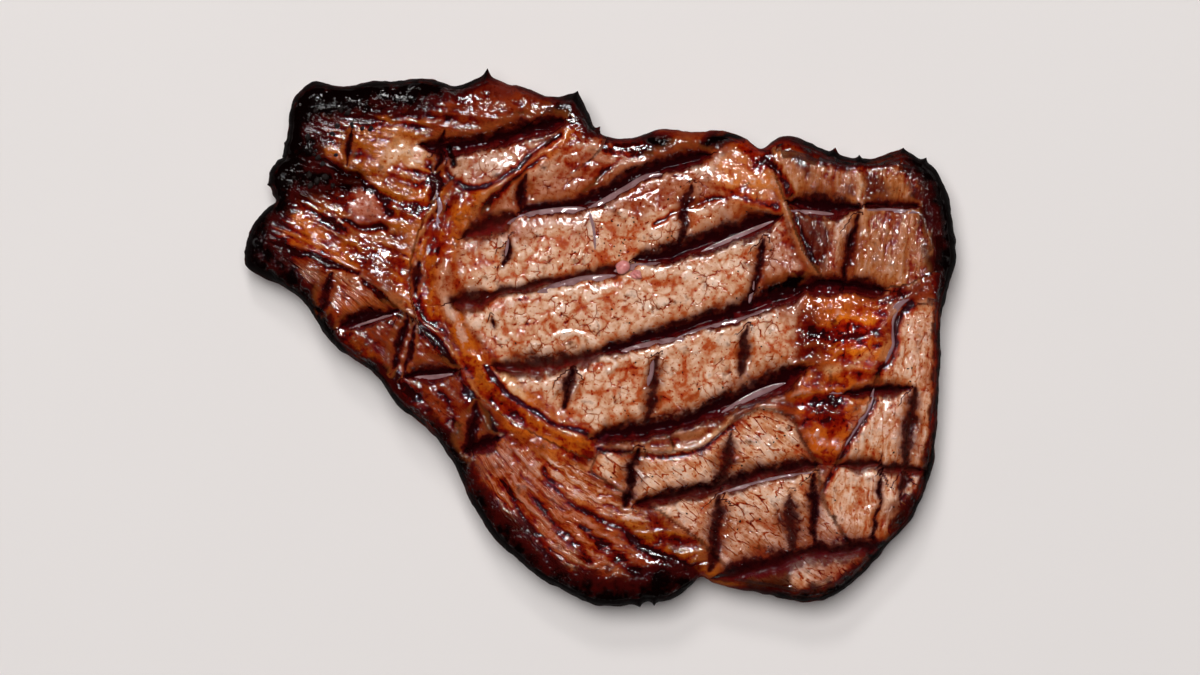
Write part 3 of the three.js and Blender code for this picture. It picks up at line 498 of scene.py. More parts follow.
# Loose flakes of char: how many, how wide the burnt edge is where they lie, how far inside its points, how
# far they stray from there, and their half widths
FLAKE_COUNT = 30
FLAKED_EDGE = 6.5
FLAKES_INSIDE, FLAKE_SPREAD = (3.5, 12), 4
FLAKE_SIZES = (0.4, 1.1)

# Lumps: how many sines their radius wanders by, how tight and how high these are, how much narrower a lump
# is than long, and the angle in radians that its outermost rings keep from its poles
KNOB_SINES, KNOB_TIGHTNESS, KNOB_HEIGHT = 5, 2.2, 0.13
LUMP_NARROWER = 0.75
POLE_GAP = 0.12
# Each kind of lump: how flat it is, how high its centre lies, in half widths, and its points round and rows
CRUMB_FORM, PEPPER_FORM, FLAKE_FORM = (0.7, 0.5, (28, 18)), (0.8, 0.4, (7, 5)), (0.4, 0.16, (10, 7))

# Zones with a grain of fibre bundles seen end on, and those that keep it off, wet ones, smooth ones, and
# those with long strands
GRAINED = ("eye", "tan pillow")
NOT_GRAINED = ("eye's upper edge", "amber cheek")
WET = (
    "right shoulder", "upper lump", "tip pillow", "first cap pillow", "tip band", "cap side", "amber cheek",
    "right column", "lower lean", "cap's lower strands", "upper fat",
)
SMOOTH = ("pink knob", "below the knob", "pale fat")
STRANDED = ("cap's lower strands", "cap's amber", "first cap pillow", "tip pillow")

# How strong the kernel's grain is, and the fibre of the lower lean, right shoulder and right column, how
# much of the crust a smooth zone lacks, and how wet a wet one is
KERNEL_GRAIN = 0.7
LOWER_FIBRE, SHOULDER_FIBRE, COLUMN_FIBRE = 0.35, 0.7, 0.4
SMOOTHNESS, WETNESS = 0.85, 0.7

# Which way the fibres run, in degrees from +X, in the lower lean and at the right
LOWER_LEAN_TURN, RIGHT_TURN = -38, 84

# How uneven the edges of painted zones are, over what size, and how much of that a band's edges have
PAINT_UNEVEN, PAINT_PATCH, BAND_UNEVEN = 0.9, 5, 0.5

# What the grid is taken to measure where streaks follow its lines
GRID_LENGTH, GRID_WIDTH = 180.0, 100.0

# Lines of fat whose streaks run along them: x, y and half width
FAT_FLOWS = [
    [(-7, 50.5, 8), (-20, 41.2, 8), (-33, 31.5, 8), (-38, 17, 9), (-37, 8, 9), (-33, -0.4, 8), (-27, -8, 7),
     (-20, -14.6, 6), (-10, -21.4, 5), (0, -25.4, 5), (14, -27.4, 4)],
]

# Relief of the upper face: bundles of fibre, lumps, folds and strands, with their sizes, lengths and widths
BUNDLE_SIZE, DOME_HEIGHT, DOME_STEEPNESS = 3.5, 0.15, 1.6
LUMP_HEIGHT, LUMP_SIZE, CHAR_LUMP_SIZE = 0.3, 8, 5
FOLD_HEIGHT, FOLD_LENGTH, FOLD_WIDTH = 0.7, 15, 5
CREASE_HEIGHT, CREASE_SIZE = 0.14, 3.2
STRAND_HEIGHT, STRAND_LENGTH, STRAND_WIDTH = 0.3, 12, 2
# How much of the folds char takes away, and how much of all this relief the marks do
CHAR_FLATTENS, MARKS_FLATTEN = 0.8, 0.85
# Vertices to each side over which the mean height is taken, down the rows and along them
BLUR_ROWS, BLUR_COLUMNS = 3, 4
HOLLOW_GAIN = 3

# The wall's angles are degrees, from 0 at the rim through 90 at its widest place to 180 at the foot. Here the
# burnt crags are drawn out the most, this is how fast that fades above and below, and this the share of a
# crag's half width over which it falls off beside it
CRAG_ANGLE, CRAG_SPREAD, CRAG_SHARPNESS = 62, 30, 0.65
# The wall's lumps and its upright strands, and about how many degrees of it a millimetre takes
WALL_LUMP_HEIGHT, WALL_LUMP_SIZE = 0.4, 8
WALL_STRAND_HEIGHT, WALL_STRAND_WIDTH, WALL_STRAND_LENGTH = 0.14, 2.2, 9
WALL_DEGREES_A_MM = 9
# Between which angles it is dry, and where its char fades and returns, its own hue comes and goes, and the
# steep edge's shine is dulled and comes back. How much of the char fades, and how strong the hue is
DRY_FROM, DRY_TO = 28, 179
CHAR_FADES, CHAR_RETURNS, CHAR_LOSS = (50, 85), (125, 155), 0.7
WALL_HUE_RISES, WALL_HUE_FADES, WALL_HUE_STRENGTH = (55.8, 85.5), (144, 175.5), 0.85
STEEP_RISES, STEEP_FADES = (5.4, 25.2), (135, 171)

# The underside: way and spacing of the two sets of bars, depth and half width of their marks, its dents,
# how far inside the foot both are whole, every how many points of the foot that is measured from, how burnt
# it is at the foot, and how much closer to the middle its outermost points are
UNDER_BARS = ((13, 20), (101, 21.5))
UNDER_MARK_DEPTH, UNDER_MARK_WIDTH = 0.9, 2
DENT_HEIGHT, DENT_SIZE = 0.35, 6
UNDER_MARGIN, UNDER_STRIDE, UNDER_CHAR = 6, 8, 0.3
FOOT_INSET = 0.995
# Its fields that are the same all over
UNDER_FIELDS = {
    "burnt": 0.8, "seam": 0, "ridge": 0, "grain": 0.5, "crust": 0.3, "bundle gap": 1, "fibre": 0.3, "slit": 0,
    "wet": 0, "hollow": 0,
}

# The crust's fields, each stored for every vertex
FIELDS = (
    "mark", "mark reach", "burnt", "seam", "ridge", "char", "grain", "crust", "bundle gap", "fibre", "slit",
    "along", "across", "hollow", "wet", "steep",
)

# Noises of the crust: name, size in millimetres and detail
NOISES = (
    ("fine", 1.1, 2), ("medium", 2.4, 2), ("broad", 5.5, 2), ("coarse", 12, 1), ("speck", 0.8, 0),
    ("lump", 2.6, 1), ("nub", 1.3, 0), ("wobble", 3, 2),
)
# Size of the small bundles of fibre, and how far a noise bends them
SMALL_BUNDLE_SIZE, BUNDLE_WARP = 3.4, 2.6

# Ranges of the crust's patterns: from and to of what goes in, and then of what comes out where that isn't
# 0 to 1
RANGES = {
    "speck": (0.75, 0.79), "parted": (0.46, 0.6), "rounded": (0.0, 0.24, 1.0, 0.0), "plump": (0.0, 0.35),
    "large edge": (0.0, 0.42, 1.0, 0.0), "patches": (0.36, 0.56), "wide crack": (0.01, 0.08, 1.0, 0.0),
    "thin crack": (0.0, 0.05, 0.9, 0.0), "open here": (0.46, 0.6), "cut": (0.02, 0.09, 1.0, 0.0),
    "cut here": (0.46, 0.56), "scorch": (0.08, 0.45), "black": (0.4, 0.85), "crinkled": (0.6, 0.72),
    "pale": (0.25, 0.45), "bare": (0.62, 1.0, 0.0, 0.75), "burning": (0.35, 0.75),
    "by mark": (2.6, 2.9, 1.0, 0.0), "in mark": (0.3, 0.8, 1.0, 0.0), "lit side": (-0.5, 0.1, 0.3, 1.0),
    "rough": (0.0, 1.0, 1.0, 0.25), "shine": (0.0, 0.5, 0.04, 0.15), "past lip": (-1.3, -1.0),
    "before lip": (0.55, 0.95, 1.0, 0.0), "dark paint": (0.05, 0.14, 0.85, 0.0),
    "level": (0.0, 0.8, 0.5, 0.04), "coat": (0.0, 0.6, 0.2, 0.0),
}
# Strands and streaks of melted fat: what places along them are multiplied by, and how far noise bends
# them. Slits: what places along and across are multiplied by, and how far they bend
STRAND_STRETCH, STRAND_BEND = 0.16, (0.5, 1.6, 0.0)
MELT_STRETCH, MELT_BEND = 0.5, (3.8, 3.8, 0.0)
SLIT_SCALE, SLIT_BEND = (0.2, 0.46, 0.0), (1.1, 1.1, 0.0)
# Colours of meat that is bleached, partly its own pale colour and partly a painted sheen, scorched and burnt
# black
BLEACHED_AND_SHEEN, SCORCHED, BLACKENED = "#E2C6B4", "#340605", "#060101"
# What browns the crust: mask, pattern and weight. A positive one bleaches. Some terms also paint light and
# shade into the colour, as marked below
BROWNING_SHADE_AND_SHEEN = (
    # The hollow terms, here and for the crust below, darken recesses: partly juice that gathers and burns
    # there, partly painted shade
    (1.0, "broad", 0.48), (1.0, "medium", 0.42), (1.0, "fine", 0.45), (1.0, "hollow", -0.14),
    (1.0, "speck", -0.2), (1.0, "seam", -0.4), (1.0, "scorch", -0.3),
    ("grain", "kind", 0.12), ("grain", "rounded", -0.13), ("grain", "large edge", -0.17),
    ("grain", "crack", -0.42), ("grain", "coarse", 0.3), ("grain", "broad", 0.1), ("grain", "medium", -0.25),
    ("grain", "fine", -0.17), ("grain", 0.5, -0.07),
    ("fibre", "strand", 1.3), ("fibre", 0.5, -1.34),
    ("slit", "hair", 0.26), ("slit", "fine", -0.2), ("slit", "medium", -0.15), ("slit", "broad", 0.32),
    ("slit", 0.5, -0.23), ("slit", "cut", -0.45),
    ("crust", "melted", 1.75), ("crust", "thread", 0.2), ("crust", "broad", 0.2), ("crust", 1.0, -1.18),
    # Painted shade, and burnt juice, in the crust's recesses
    ("crust", "hollow", -0.1),
    # The wet term pales the gleaming wet places, a painted sheen; the ridge term pales the cords of fat,
    # partly their own paler fat and partly a painted glint
    ("wet", 1.0, 0.08), ("ridge", "ridge", 0.04),
)

# What gives the crust its fine relief: mask, pattern and height in millimetres, and what crinkled char adds
RELIEF = (
    (1.0, "medium", 0.3), (1.0, "fine", 0.06),
    ("grain", "plump", 0.08), ("grain", "medium", -0.1), ("grain", "crack", -0.12),
    ("crust", "melted", 0.65), ("crust", "thread", 0.2), ("fibre", "strand", 0.85),
    ("slit", "hair", 0.12), ("slit", "medium", 0.2), ("slit", "cut", -0.15),
    ("wet", "fine", 0.1), ("wet", "nub", 0.12), ("wet", "lump", 0.3), ("wet", "broad", 0.6),
)
CRINKLES = (("crinkled", "lump", 0.32), ("crinkled", "nub", 0.3))

# What the browning starts from, its contrast and shift, and how much brighter the browned paint is made
TONE_START, TONE_CONTRAST, TONE_SHIFT = 0.05, 1.2, -0.225
PAINT_GAIN = 1.6
# How ragged and how patchy the edge of creeping char is
CREEP_RAGGED, CREEP_PATCHY = 0.35, 0.9

# Colours that the tone multiplies the paint by, from most browned to bleached: place, sRGB and cover. The
# palest stops are partly a painted sheen
TONE_STOPS = (
    (0.0, "#400402", 1), (0.2, "#94280A", 1), (0.42, "#B46A40", 1), (0.6, "#CEBDAC", 1), (0.8, "#E8E8E8", 1),
)

# Colours across a mark that is burnt, and one that is less so: half widths, sRGB and cover. On the side in
# shade their black and brown halo are partly char and partly painted shade
BURNT_BAR_WITH_SHADE = (
    (-2.9, "#8A4A22", 0), (-2.0, "#864218", 0.5), (-1.35, "#70260E", 0.75), (-1.0, "#3C0806", 0.97),
    (-0.5, "#1A0203", 1), (0.2, "#1C0204", 1), (0.65, "#440608", 1), (0.95, "#520D0B", 1),
    (1.2, "#4A0E08", 0.9), (1.45, "#6A2A14", 0.5), (1.9, "#7A3A1C", 0),
)
RED_BAR_WITH_SHADE = (
    (-2.7, "#8A4A22", 0), (-1.9, "#7C3A16", 0.5), (-1.3, "#5C1C0C", 0.8), (-0.95, "#3A0806", 0.97),
    (-0.5, "#2A0505", 0.98), (0.0, "#380707", 0.98), (0.5, "#560D0E", 0.94), (1.0, "#4E110D", 0.78),
    (1.5, "#7A3A20", 0),
)

# How deep the scorch's red stain is on the wet face and on the dry wall
WET_STAIN, DRY_STAIN = 0.88, 0.45

# Setting of a range with a smooth start and end
EASED = {"interpolation_type": "SMOOTHSTEP"}

# Sockets of a Mix node, by number because its kinds of value share their names
FACTOR, FIRST_NUMBER, SECOND_NUMBER, FIRST, SECOND, RESULT = 0, 2, 3, 6, 7, 2

# Camera: the width of what it sees at the height of the steak's widest outline, and its lens and sensor
FRAME_WIDTH = 300.0
OUTLINE_PLANE = 10.0
LENS, SENSOR = 150.0, 36.0

# Lamps: name, turn and tilt in degrees, distance, width and height in metres, radiance, tint, and whether
# they show in shade or in gloss
LAMPS = [
    ("overhead", 112, 10, 3.0, 1.2, 1.2, 17.6, (1.0, 0.985, 0.97), "shade"),
    ("upper_key", 100, 32, 1.6, 0.26, 0.26, 20, (1.0, 0.98, 0.96), "shade"),
    ("upper_gleam", 96, 32, 1.2, 0.29, 0.1, 210, (1.0, 0.99, 0.98), "gloss"),
    ("right_gleam", 20, 26, 1.2, 0.06, 0.06, 160, (1.0, 0.99, 0.98), "gloss"),
    ("left_gleam", 160, 24, 1.2, 0.06, 0.06, 270, (1.0, 0.99, 0.98), "gloss"),
]
LAMP_TARGET = (0, 0, 0.01)
SKY_COLOUR = (0.9, 0.92, 1.0, 1.0)
AMBIENT = 0.03

# Floor: half its width, and how far below the steak's underside it lies
FLOOR_HALF_WIDTH = 1600
FLOOR_HEIGHT = -0.3


# Curves and noise


def spaced(points, count):
    """Evenly spaced points along a line of close points, with its first and without its last."""
    run = np.r_[0, np.cumsum(np.linalg.norm(np.diff(points[:, :2], axis=0), axis=1))]
    places = np.linspace(0, run[-1], count, endpoint=False)
    return np.stack([np.interp(places, run, column) for column in points.T], axis=1)


def curve_through(before, start, end, beyond, steps):
    """Centripetal Catmull-Rom pieces from start to end: cubics whose slopes come from the points around."""
    d0, d1, d2 = (
        np.sqrt(np.maximum(np.linalg.norm((b - a)[:, :2], axis=1), 1e-6))[:, None]
        for a, b in ((before, start), (start, end), (end, beyond))
    )
    leave = ((start - before) / d0 - (end - before) / (d0 + d1) + (end - start) / d1) * d1
    arrive = ((end - start) / d1 - (beyond - start) / (d1 + d2) + (beyond - end) / d2) * d1
    u = np.linspace(0, 1, steps, endpoint=False)[None, :, None]
    start, end, leave, arrive = (a[:, None, :] for a in (start, end, leave, arrive))
    cubic = start + leave * u + (3 * (end - start) - 2 * leave - arrive) * u**2
    return (cubic + (2 * (start - end) + leave + arrive) * u**3).reshape(-1, start.shape[2])


def closed_curve(points, count):
    """Evenly spaced points round a smooth closed curve through the points."""
    p = np.array(points, float)
    curve = curve_through(np.roll(p, 1, 0), p, np.roll(p, -1, 0), np.roll(p, -2, 0), CLOSED_CURVE_STEPS)
    return spaced(np.vstack([curve, curve[:1]]), count)


def open_curve(points, step):
    """Points a step apart on a smooth curve through the points, which holds its ends."""
    p = np.array(points, float)
    if len(p) == 2:
        fine = p
    else:
        padded = np.vstack([2 * p[0] - p[1], p, 2 * p[-1] - p[-2]])
        curve = curve_through(padded[:-3], padded[1:-2], padded[2:-1], padded[3:], OPEN_CURVE_STEPS)
        fine = np.vstack([curve, p[-1:]])
    length = np.linalg.norm(np.diff(fine[:, :2], axis=0), axis=1).sum()
    return np.vstack([spaced(fine, max(2, round(length / step))), fine[-1:]])


def soft_noise(x, y, size, seed):
    """Random heights from 0 to 1 at the corners of squares of that size, blended smoothly between them."""
    table = np.random.default_rng(seed).random((NOISE_TABLE, NOISE_TABLE))
    i, j = np.floor(x / size).astype(int), np.floor(y / size).astype(int)
    across, up = (share**3 * (share * (6 * share - 15) + 10) for share in (x / size - i, y / size - j))
    corners = [[table[(i + a) % NOISE_TABLE, (j + b) % NOISE_TABLE] for a in (0, 1)] for b in (0, 1)]
    lower, upper = (left * (1 - across) + right * across for left, right in corners)
    return lower * (1 - up) + upper * up


def rough_noise(x, y, size, seed, layers=4):
    """Soft noises added up from about -1 to 1, each half the size and strength of the one before."""
    total, weight = 0, 0
    for layer in range(layers):
        strength = 0.5**layer
        total = total + strength * (2 * soft_noise(x, y, size * strength, seed + layer) - 1)
        weight += strength
    return total / weight * NOISE_SPREAD


def cell_gap(x, y, size, seed):
    """Of points scattered one to a square of that size: how much farther off, in sizes, the next one is
    than the nearest. It is 0 on the edges of the cells round the points."""
    # Each square draws three numbers, of which a point takes two
    jitter = np.random.default_rng(seed).random((NOISE_TABLE, NOISE_TABLE, 3))
    i, j = np.floor(x / size).astype(int), np.floor(y / size).astype(int)
    nearest, following = np.full(x.shape, np.inf), np.full(x.shape, np.inf)
    for a in (-1, 0, 1):
        for b in (-1, 0, 1):
            own = jitter[(i + a) % NOISE_TABLE, (j + b) % NOISE_TABLE]
            gap = np.hypot(x / size - (i + a + own[..., 0]), y / size - (j + b + own[..., 1]))
            following = np.minimum(following, np.maximum(gap, nearest))
            nearest = np.minimum(nearest, gap)
    return following - nearest


def step_up(value, low, high):
    """0 below low, 1 above high, and smooth between."""
    share = np.clip((value - low) / (high - low), 0, 1)
    return share * share * (3 - 2 * share)


# Lines and areas on the upper face


def near_pieces(plan, corners, way, reach):
    """For the plan points within reach of the corners' box: which they are, and then for each straight
    piece that starts at a corner and goes its way: the offset from that corner, how far along the piece its
    nearest point is, from 0 to 1, and the distance from there."""
    low, high = corners.min(0) - reach, corners.max(0) + reach
    chosen = np.flatnonzero(((plan > low) & (plan < high)).all(1))
    offset = plan[chosen, None] - corners[: len(way)]
    share = np.clip((offset * way).sum(2) / (way**2).sum(1), 0, 1)
    gap = offset - share[..., None] * way
    return chosen, offset, share, np.hypot(gap[..., 0], gap[..., 1])


def along_line(plan, line, reach):
    """For the plan points within reach of a smooth line of x, y and half width: which they are, the
    distance in half widths, the side (positive to the right of the line's way), the half width there and
    how far off the nearest end is."""
    path = open_curve(line, PATH_STEP)
    way = np.diff(path[:, :2], axis=0)
    chosen, offset, share, distance = near_pieces(plan, path[:, :2], way, reach)
    nearest = distance.argmin(1)
    rows = np.arange(len(chosen))
    held = share[rows, nearest]
    width = path[nearest, 2] * (1 - held) + path[nearest + 1, 2] * held
    turn = way[nearest, 1] * offset[rows, nearest, 0] - way[nearest, 0] * offset[rows, nearest, 1]
    run = nearest + held
    end_gap = np.minimum(run, len(way) - run) * PATH_STEP
    return chosen, distance[rows, nearest] / width, np.sign(turn), width, end_gap


def inside_area(plan, corners, reach):
    """Distance inside an area's straight-sided outline, negative outside it, for the plan points near it. A
    point is inside where a line from it to one side crosses the outline an odd number of times."""
    corners = np.array(corners, float)
    way = np.roll(corners, -1, 0) - corners
    chosen, offset, _, distance = near_pieces(plan, corners, way, reach)
    above, end_above = offset[..., 1] >= 0, (offset - way)[..., 1] >= 0
    turn = way[:, 0] * offset[..., 1] - way[:, 1] * offset[..., 0]
    crossings = (above & ~end_above & (turn < 0)) | (~above & end_above & (turn > 0))
    return chosen, np.where(crossings.sum(1) % 2 == 1, distance.min(1), -distance.min(1))


def bell(x, y, form):
    """A rise round a centre: the exponential of minus the squared distances along and across it."""
    cx, cy, long, wide, rise = form
    return rise * np.exp(-(((x - cx) / long) ** 2) - ((y - cy) / wide) ** 2)


def linear(code):
    """An sRGB hex colour as linear red, green and blue."""
    value = np.array([int(code[k : k + 2], 16) for k in (1, 3, 5)]) / 255
    return np.where(value <= 0.04045, value / 12.92, ((value + 0.055) / 1.055) ** 2.4)


# The outline and the grids inside it


def outline_curves():
    """The outline, the rim and the foot inside it and the way out from it, at evenly spaced points, and the
    step between them. The rim and foot are set off from an outline smoothed by a moving average."""
    fine = closed_curve(OUTLINE, OUTLINE_STEPS)
    step = np.linalg.norm(fine[1] - fine[0])
    reach = int(np.ceil(3 * RIM_SMOOTHING / step))
    weights = np.exp(-0.5 * (np.arange(-reach, reach + 1) * step / RIM_SMOOTHING) ** 2)
    weights /= weights.sum()
    wrapped = np.vstack([fine[-reach:], fine, fine[:reach]])
    smooth = np.stack([np.convolve(column, weights, "valid") for column in wrapped.T], axis=1)
    way = np.roll(smooth, -1, 0) - np.roll(smooth, 1, 0)
    way /= np.linalg.norm(way, axis=1)[:, None]
    inward = np.stack([way[:, 1], -way[:, 0]], axis=1)
    share = np.arange(OUTLINE_STEPS) / OUTLINE_STEPS
    waves = sum(height * np.sin(2 * np.pi * count * share + start) for count, height, start in FOOT_WAVES)
    foot_width = FOOT_WIDTH * (1 + waves)
    return fine, smooth + RIM_WIDTH * inward, smooth + foot_width[:, None] * inward, -inward, step


def edge_places(fine):
    """Places on the fine outline of the grid's edge points, as many on opposite sides."""
    corners = [np.linalg.norm(fine - corner, axis=1).argmin() for corner in GRID_CORNERS]
    sides = []
    for side, cells_on_side in enumerate((CELLS_ALONG, CELLS_ACROSS) * 2):
        span = (corners[(side + 1) % 4] - corners[side]) % len(fine)
        steps = np.round(span * np.arange(cells_on_side) / cells_on_side).astype(int)
        sides.append((corners[side] + steps) % len(fine))
    return np.concatenate(sides)


def rim_numbers(along, across):
    """For a grid of that many cells, its points numbered row by row, the edge points in order round it."""
    row = along + 1
    i, j = np.arange(along), np.arange(across)
    return np.concatenate([across * row + i, (across - j) * row + along, along - i, j * row])


def filled_grid(rim, along, across, passes):
    """Grid of plan points inside a closed rim: the sides' blend, each then drawn to its neighbours' mean."""
    grid = np.zeros((across + 1, along + 1, 2))
    grid.reshape(-1, 2)[rim_numbers(along, across)] = rim
    u = np.linspace(0, 1, along + 1)[None, :, None]
    v = np.linspace(0, 1, across + 1)[:, None, None]
    sides = (1 - v) * grid[:1] + v * grid[-1:] + (1 - u) * grid[:, :1] + u * grid[:, -1:]
    lower = (1 - u) * grid[0, 0] + u * grid[0, -1]
    upper = (1 - u) * grid[-1, 0] + u * grid[-1, -1]
    grid[1:-1, 1:-1] = (sides - ((1 - v) * lower + v * upper))[1:-1, 1:-1]
    for _ in range(passes):
        grid[1:-1, 1:-1] = (grid[:-2, 1:-1] + grid[2:, 1:-1] + grid[1:-1, :-2] + grid[1:-1, 2:]) / 4
    return grid.reshape(-1, 2)


def grid_faces(along, across, first):
    """Four-sided faces of a grid whose vertices are numbered row by row from first."""
    i, j = np.meshgrid(np.arange(along), np.arange(across))
    corner = (first + j * (along + 1) + i).ravel()
    return np.stack([corner, corner + 1, corner + along + 2, corner + along + 1], 1)


def ring_faces(upper, lower):
    """Four-sided faces between two rings, the first above the second."""
    return np.stack([upper, np.roll(upper, -1), np.roll(lower, -1), lower], 1)


# Fields of the upper face


def narrowed(end_gap, share, length):
    """The share of its width that a mark has: the one given at its ends, and all of it a length away."""
    return share + (1 - share) * step_up(end_gap, 0, length)


def bar_marks(plan):
    """For each plan point: the marks' depth, where the point lies across the nearest mark in half widths
    (-1 at the side in shade, 1 at the lit side), how burnt the mark is, how far the meat sags and how wet
    it is. A rising mark has a flat floor and a steep lit lip, the meat sags towards it, and fat gleams
    beyond its lip. A crossing mark is a shallow trough, shaded on both sides."""
    depth, near, burnt, sag, wet = (np.zeros(len(plan)) for _ in range(5))
    across = np.full(len(plan), ACROSS_LIMIT)
    for number, (line, deep, burn) in enumerate(RISING_MARKS + CROSSING_MARKS):
        chosen, reach, side, width, end_gap = along_line(plan, line, MARK_REACH)
        if number < len(RISING_MARKS):
            full = min(deep, 1)
            sagged = STRIP_SAG * full * np.exp(-((reach * width / STRIP_SAG_WIDTH) ** 2))
            sag[chosen] = np.maximum(sag[chosen], sagged)
            beyond = np.where(side > 0, (reach - LIP_PLACE) * width, -MARK_REACH)
            gleam = full * np.exp(-(((beyond - GLEAM_PLACE) / GLEAM_WIDTH) ** 2))
            wet[chosen] = np.maximum(wet[chosen], gleam)
            reach = reach / narrowed(end_gap, *RISING_ENDS)
            t = reach * side
            floor = deep * step_up(t, *SHADED_SIDE) * (1 - step_up(t, *LIT_LIP))
        else:
            reach = CROSSING_NARROWER * reach / narrowed(end_gap, *CROSSING_ENDS)
            t = -CROSSING_SHIFT - reach
            floor = CROSSING_DEPTH * deep * np.exp(-(reach**2))
        closer = np.exp(-(reach**2) / 4)
        better = closer > near[chosen]
        depth[chosen] = np.maximum(depth[chosen], floor)
        across[chosen] = np.where(better, np.clip(t, -ACROSS_LIMIT, ACROSS_LIMIT), across[chosen])
        burnt[chosen] = np.where(better, burn, burnt[chosen])
        near[chosen] = np.maximum(near[chosen], closer)
    return depth, across, burnt, sag, wet


def line_share(plan, lines):
    """Greatest of each line's height, which falls off as a bell, and how near a line is."""
    height, near = np.zeros(len(plan)), np.zeros(len(plan))
    for line, rise in lines:
        chosen, reach, _, _, _ = along_line(plan, line, AREA_REACH)
        height[chosen] = np.maximum(height[chosen], rise * np.exp(-(reach**2) / 2))
        near[chosen] = np.maximum(near[chosen], np.exp(-(reach**2) / 4))
    return height, near


def wandering(plan, size, reach, seed):
    """Plan points moved a little by noise, so that what is measured from them has uneven edges."""
    x, y = plan.T
    moved = [rough_noise(x, y, size, seed, 3), rough_noise(x, y, size, seed + 50, 3)]
    return plan + reach * np.stack(moved, 1)


def from_edge(plan, edge):
    """Distance of each plan point from the nearest of the edge's points, and that one's number. It works in
    batches because all the distances at once would fill the memory."""
    distance, nearest = np.zeros(len(plan)), np.zeros(len(plan), int)
    for rows in np.array_split(np.arange(len(plan)), EDGE_BATCHES):
        gap = np.linalg.norm(plan[rows, None] - edge[None], axis=2)
        nearest[rows] = gap.argmin(1)
        distance[rows] = gap[np.arange(len(rows)), nearest[rows]]
    return distance, nearest


def char_field(plan, fine):
    """How burnt each plan point is: 1 at the edge, 0.5 at the burnt edge's width, and in patches."""
    edge = fine[::EDGE_STRIDE]
    distance, nearest = from_edge(plan, edge)
    places = np.array([np.linalg.norm(edge - (x, y), axis=1).argmin() for x, y, _ in CHAR_EDGE])
    order = np.argsort(places)
    places, widths = places[order], np.array([width for _, _, width in CHAR_EDGE])[order]
    lapped = np.r_[places - len(edge), places, places + len(edge)]
    width = np.interp(nearest, lapped, np.tile(widths, 3))
    # A narrow burnt edge is fainter too
    char = np.maximum(1 - distance / (2 * width), 0) * np.clip(0.1 + 0.5 * width, 0, 1)
    for line in CHAR_PATCHES:
        chosen, reach, _, _, _ = along_line(plan, line, CHAR_REACH)
        char[chosen] = np.maximum(char[chosen], 1 - reach / 2)
    return char


def painted(plan, x, y):
    """Colour of each plan point: the cap's brown, then each zone and band over it with uneven edges."""
    colour = np.tile(linear(HUES["cap brown"]), (len(plan), 1))
    uneven = PAINT_UNEVEN * rough_noise(x, y, PAINT_PATCH, SEED + 20)

    def cover(chosen, hue, strength, place, soft):
        share = strength * step_up(place, -soft, soft)
        colour[chosen] += share[:, None] * (linear(HUES[hue]) - colour[chosen])

    for _, hue, strength, soft, corners in ZONES:
        chosen, inside = inside_area(plan, corners, AREA_REACH)
        cover(chosen, hue, strength, inside + uneven[chosen] * soft, soft)
    for hue, strength, soft, line in BANDS:
        chosen, reach, _, width, _ = along_line(plan, line, AREA_REACH)
        cover(chosen, hue, strength, width * (1 - reach) + BAND_UNEVEN * uneven[chosen], soft)
    return colour


def zone_share(plan, names, soft):
    """How far inside any of the named zones each plan point is, from 0 to 1."""
    share = np.zeros(len(plan))
    for name, _, _, _, corners in ZONES:
        if name in names:
            chosen, inside = inside_area(plan, corners, AREA_REACH)
            share[chosen] = np.maximum(share[chosen], step_up(inside, -soft, soft))
    return share


def upper_relief(plan, fields):
    """Height of the upper face: crown and swellings, marks and seams cut in, cords of fat and fine relief
    on top. The fine relief is the bundles' domes, lumps, folds that run with the streaks, and strands."""
    x, y = plan.T
    along, across, charred = fields["along"], fields["across"], np.clip(fields["char"], 0, 1)
    height = EDGE_THICKNESS + bell(x, y, CROWN) + bell(x, y, TIP_DROP)
    height = height + sum(bell(x, y, form) for form in SWELLINGS.values())
    cut = np.maximum(fields["mark depth"], fields["seam depth"])
    domes = fields["grain"] * DOME_HEIGHT * np.clip(fields["bundle gap"] * DOME_STEEPNESS, 0, 1)
    lumps = LUMP_HEIGHT * rough_noise(x, y, LUMP_SIZE, SEED + 80, 2)
    lumps += LUMP_HEIGHT * fields["char"] * rough_noise(x, y, CHAR_LUMP_SIZE, SEED + 90, 2)
    folds = 1 - np.abs(rough_noise(along / FOLD_LENGTH, across / FOLD_WIDTH, 1, SEED + 85, 2))
    creases = rough_noise(x, y, CREASE_SIZE, SEED + 88, 1)
    folds = fields["crust"] * (FOLD_HEIGHT * folds + CREASE_HEIGHT * creases) * (1 - CHAR_FLATTENS * charred)
    strands = rough_noise(along / STRAND_LENGTH, across / STRAND_WIDTH, 1, SEED + 95, 2)
    strands = fields["fibre"] * STRAND_HEIGHT * strands
    calm = 1 - MARKS_FLATTEN * np.clip(fields["mark depth"], 0, 1)
    return height - cut - fields["sag"] + fields["ridge height"] + (domes + lumps + strands + folds) * calm


def hollowness(height, along, across):
    """How far each vertex of a grid lies below (positive) or above the mean of those within about 2 mm, in
    thirds of a millimetre, from -1 to 1. It is a moving mean down the rows and then along them, twice."""
    grid = height.reshape(across + 1, along + 1)
    blurred = grid
    for axis, reach in ((0, BLUR_ROWS), (1, BLUR_COLUMNS)) * 2:
        padded = np.pad(blurred, [(reach, reach) if k == axis else (0, 0) for k in (0, 1)], mode="edge")
        total = np.cumsum(np.insert(padded, 0, 0, axis=axis), axis=axis)
        high = np.take(total, range(2 * reach + 1, total.shape[axis]), axis)
        low = np.take(total, range(0, total.shape[axis] - 2 * reach - 1), axis)
        blurred = (high - low) / (2 * reach + 1)
    return np.clip((blurred - grid) * HOLLOW_GAIN, -1, 1).ravel()


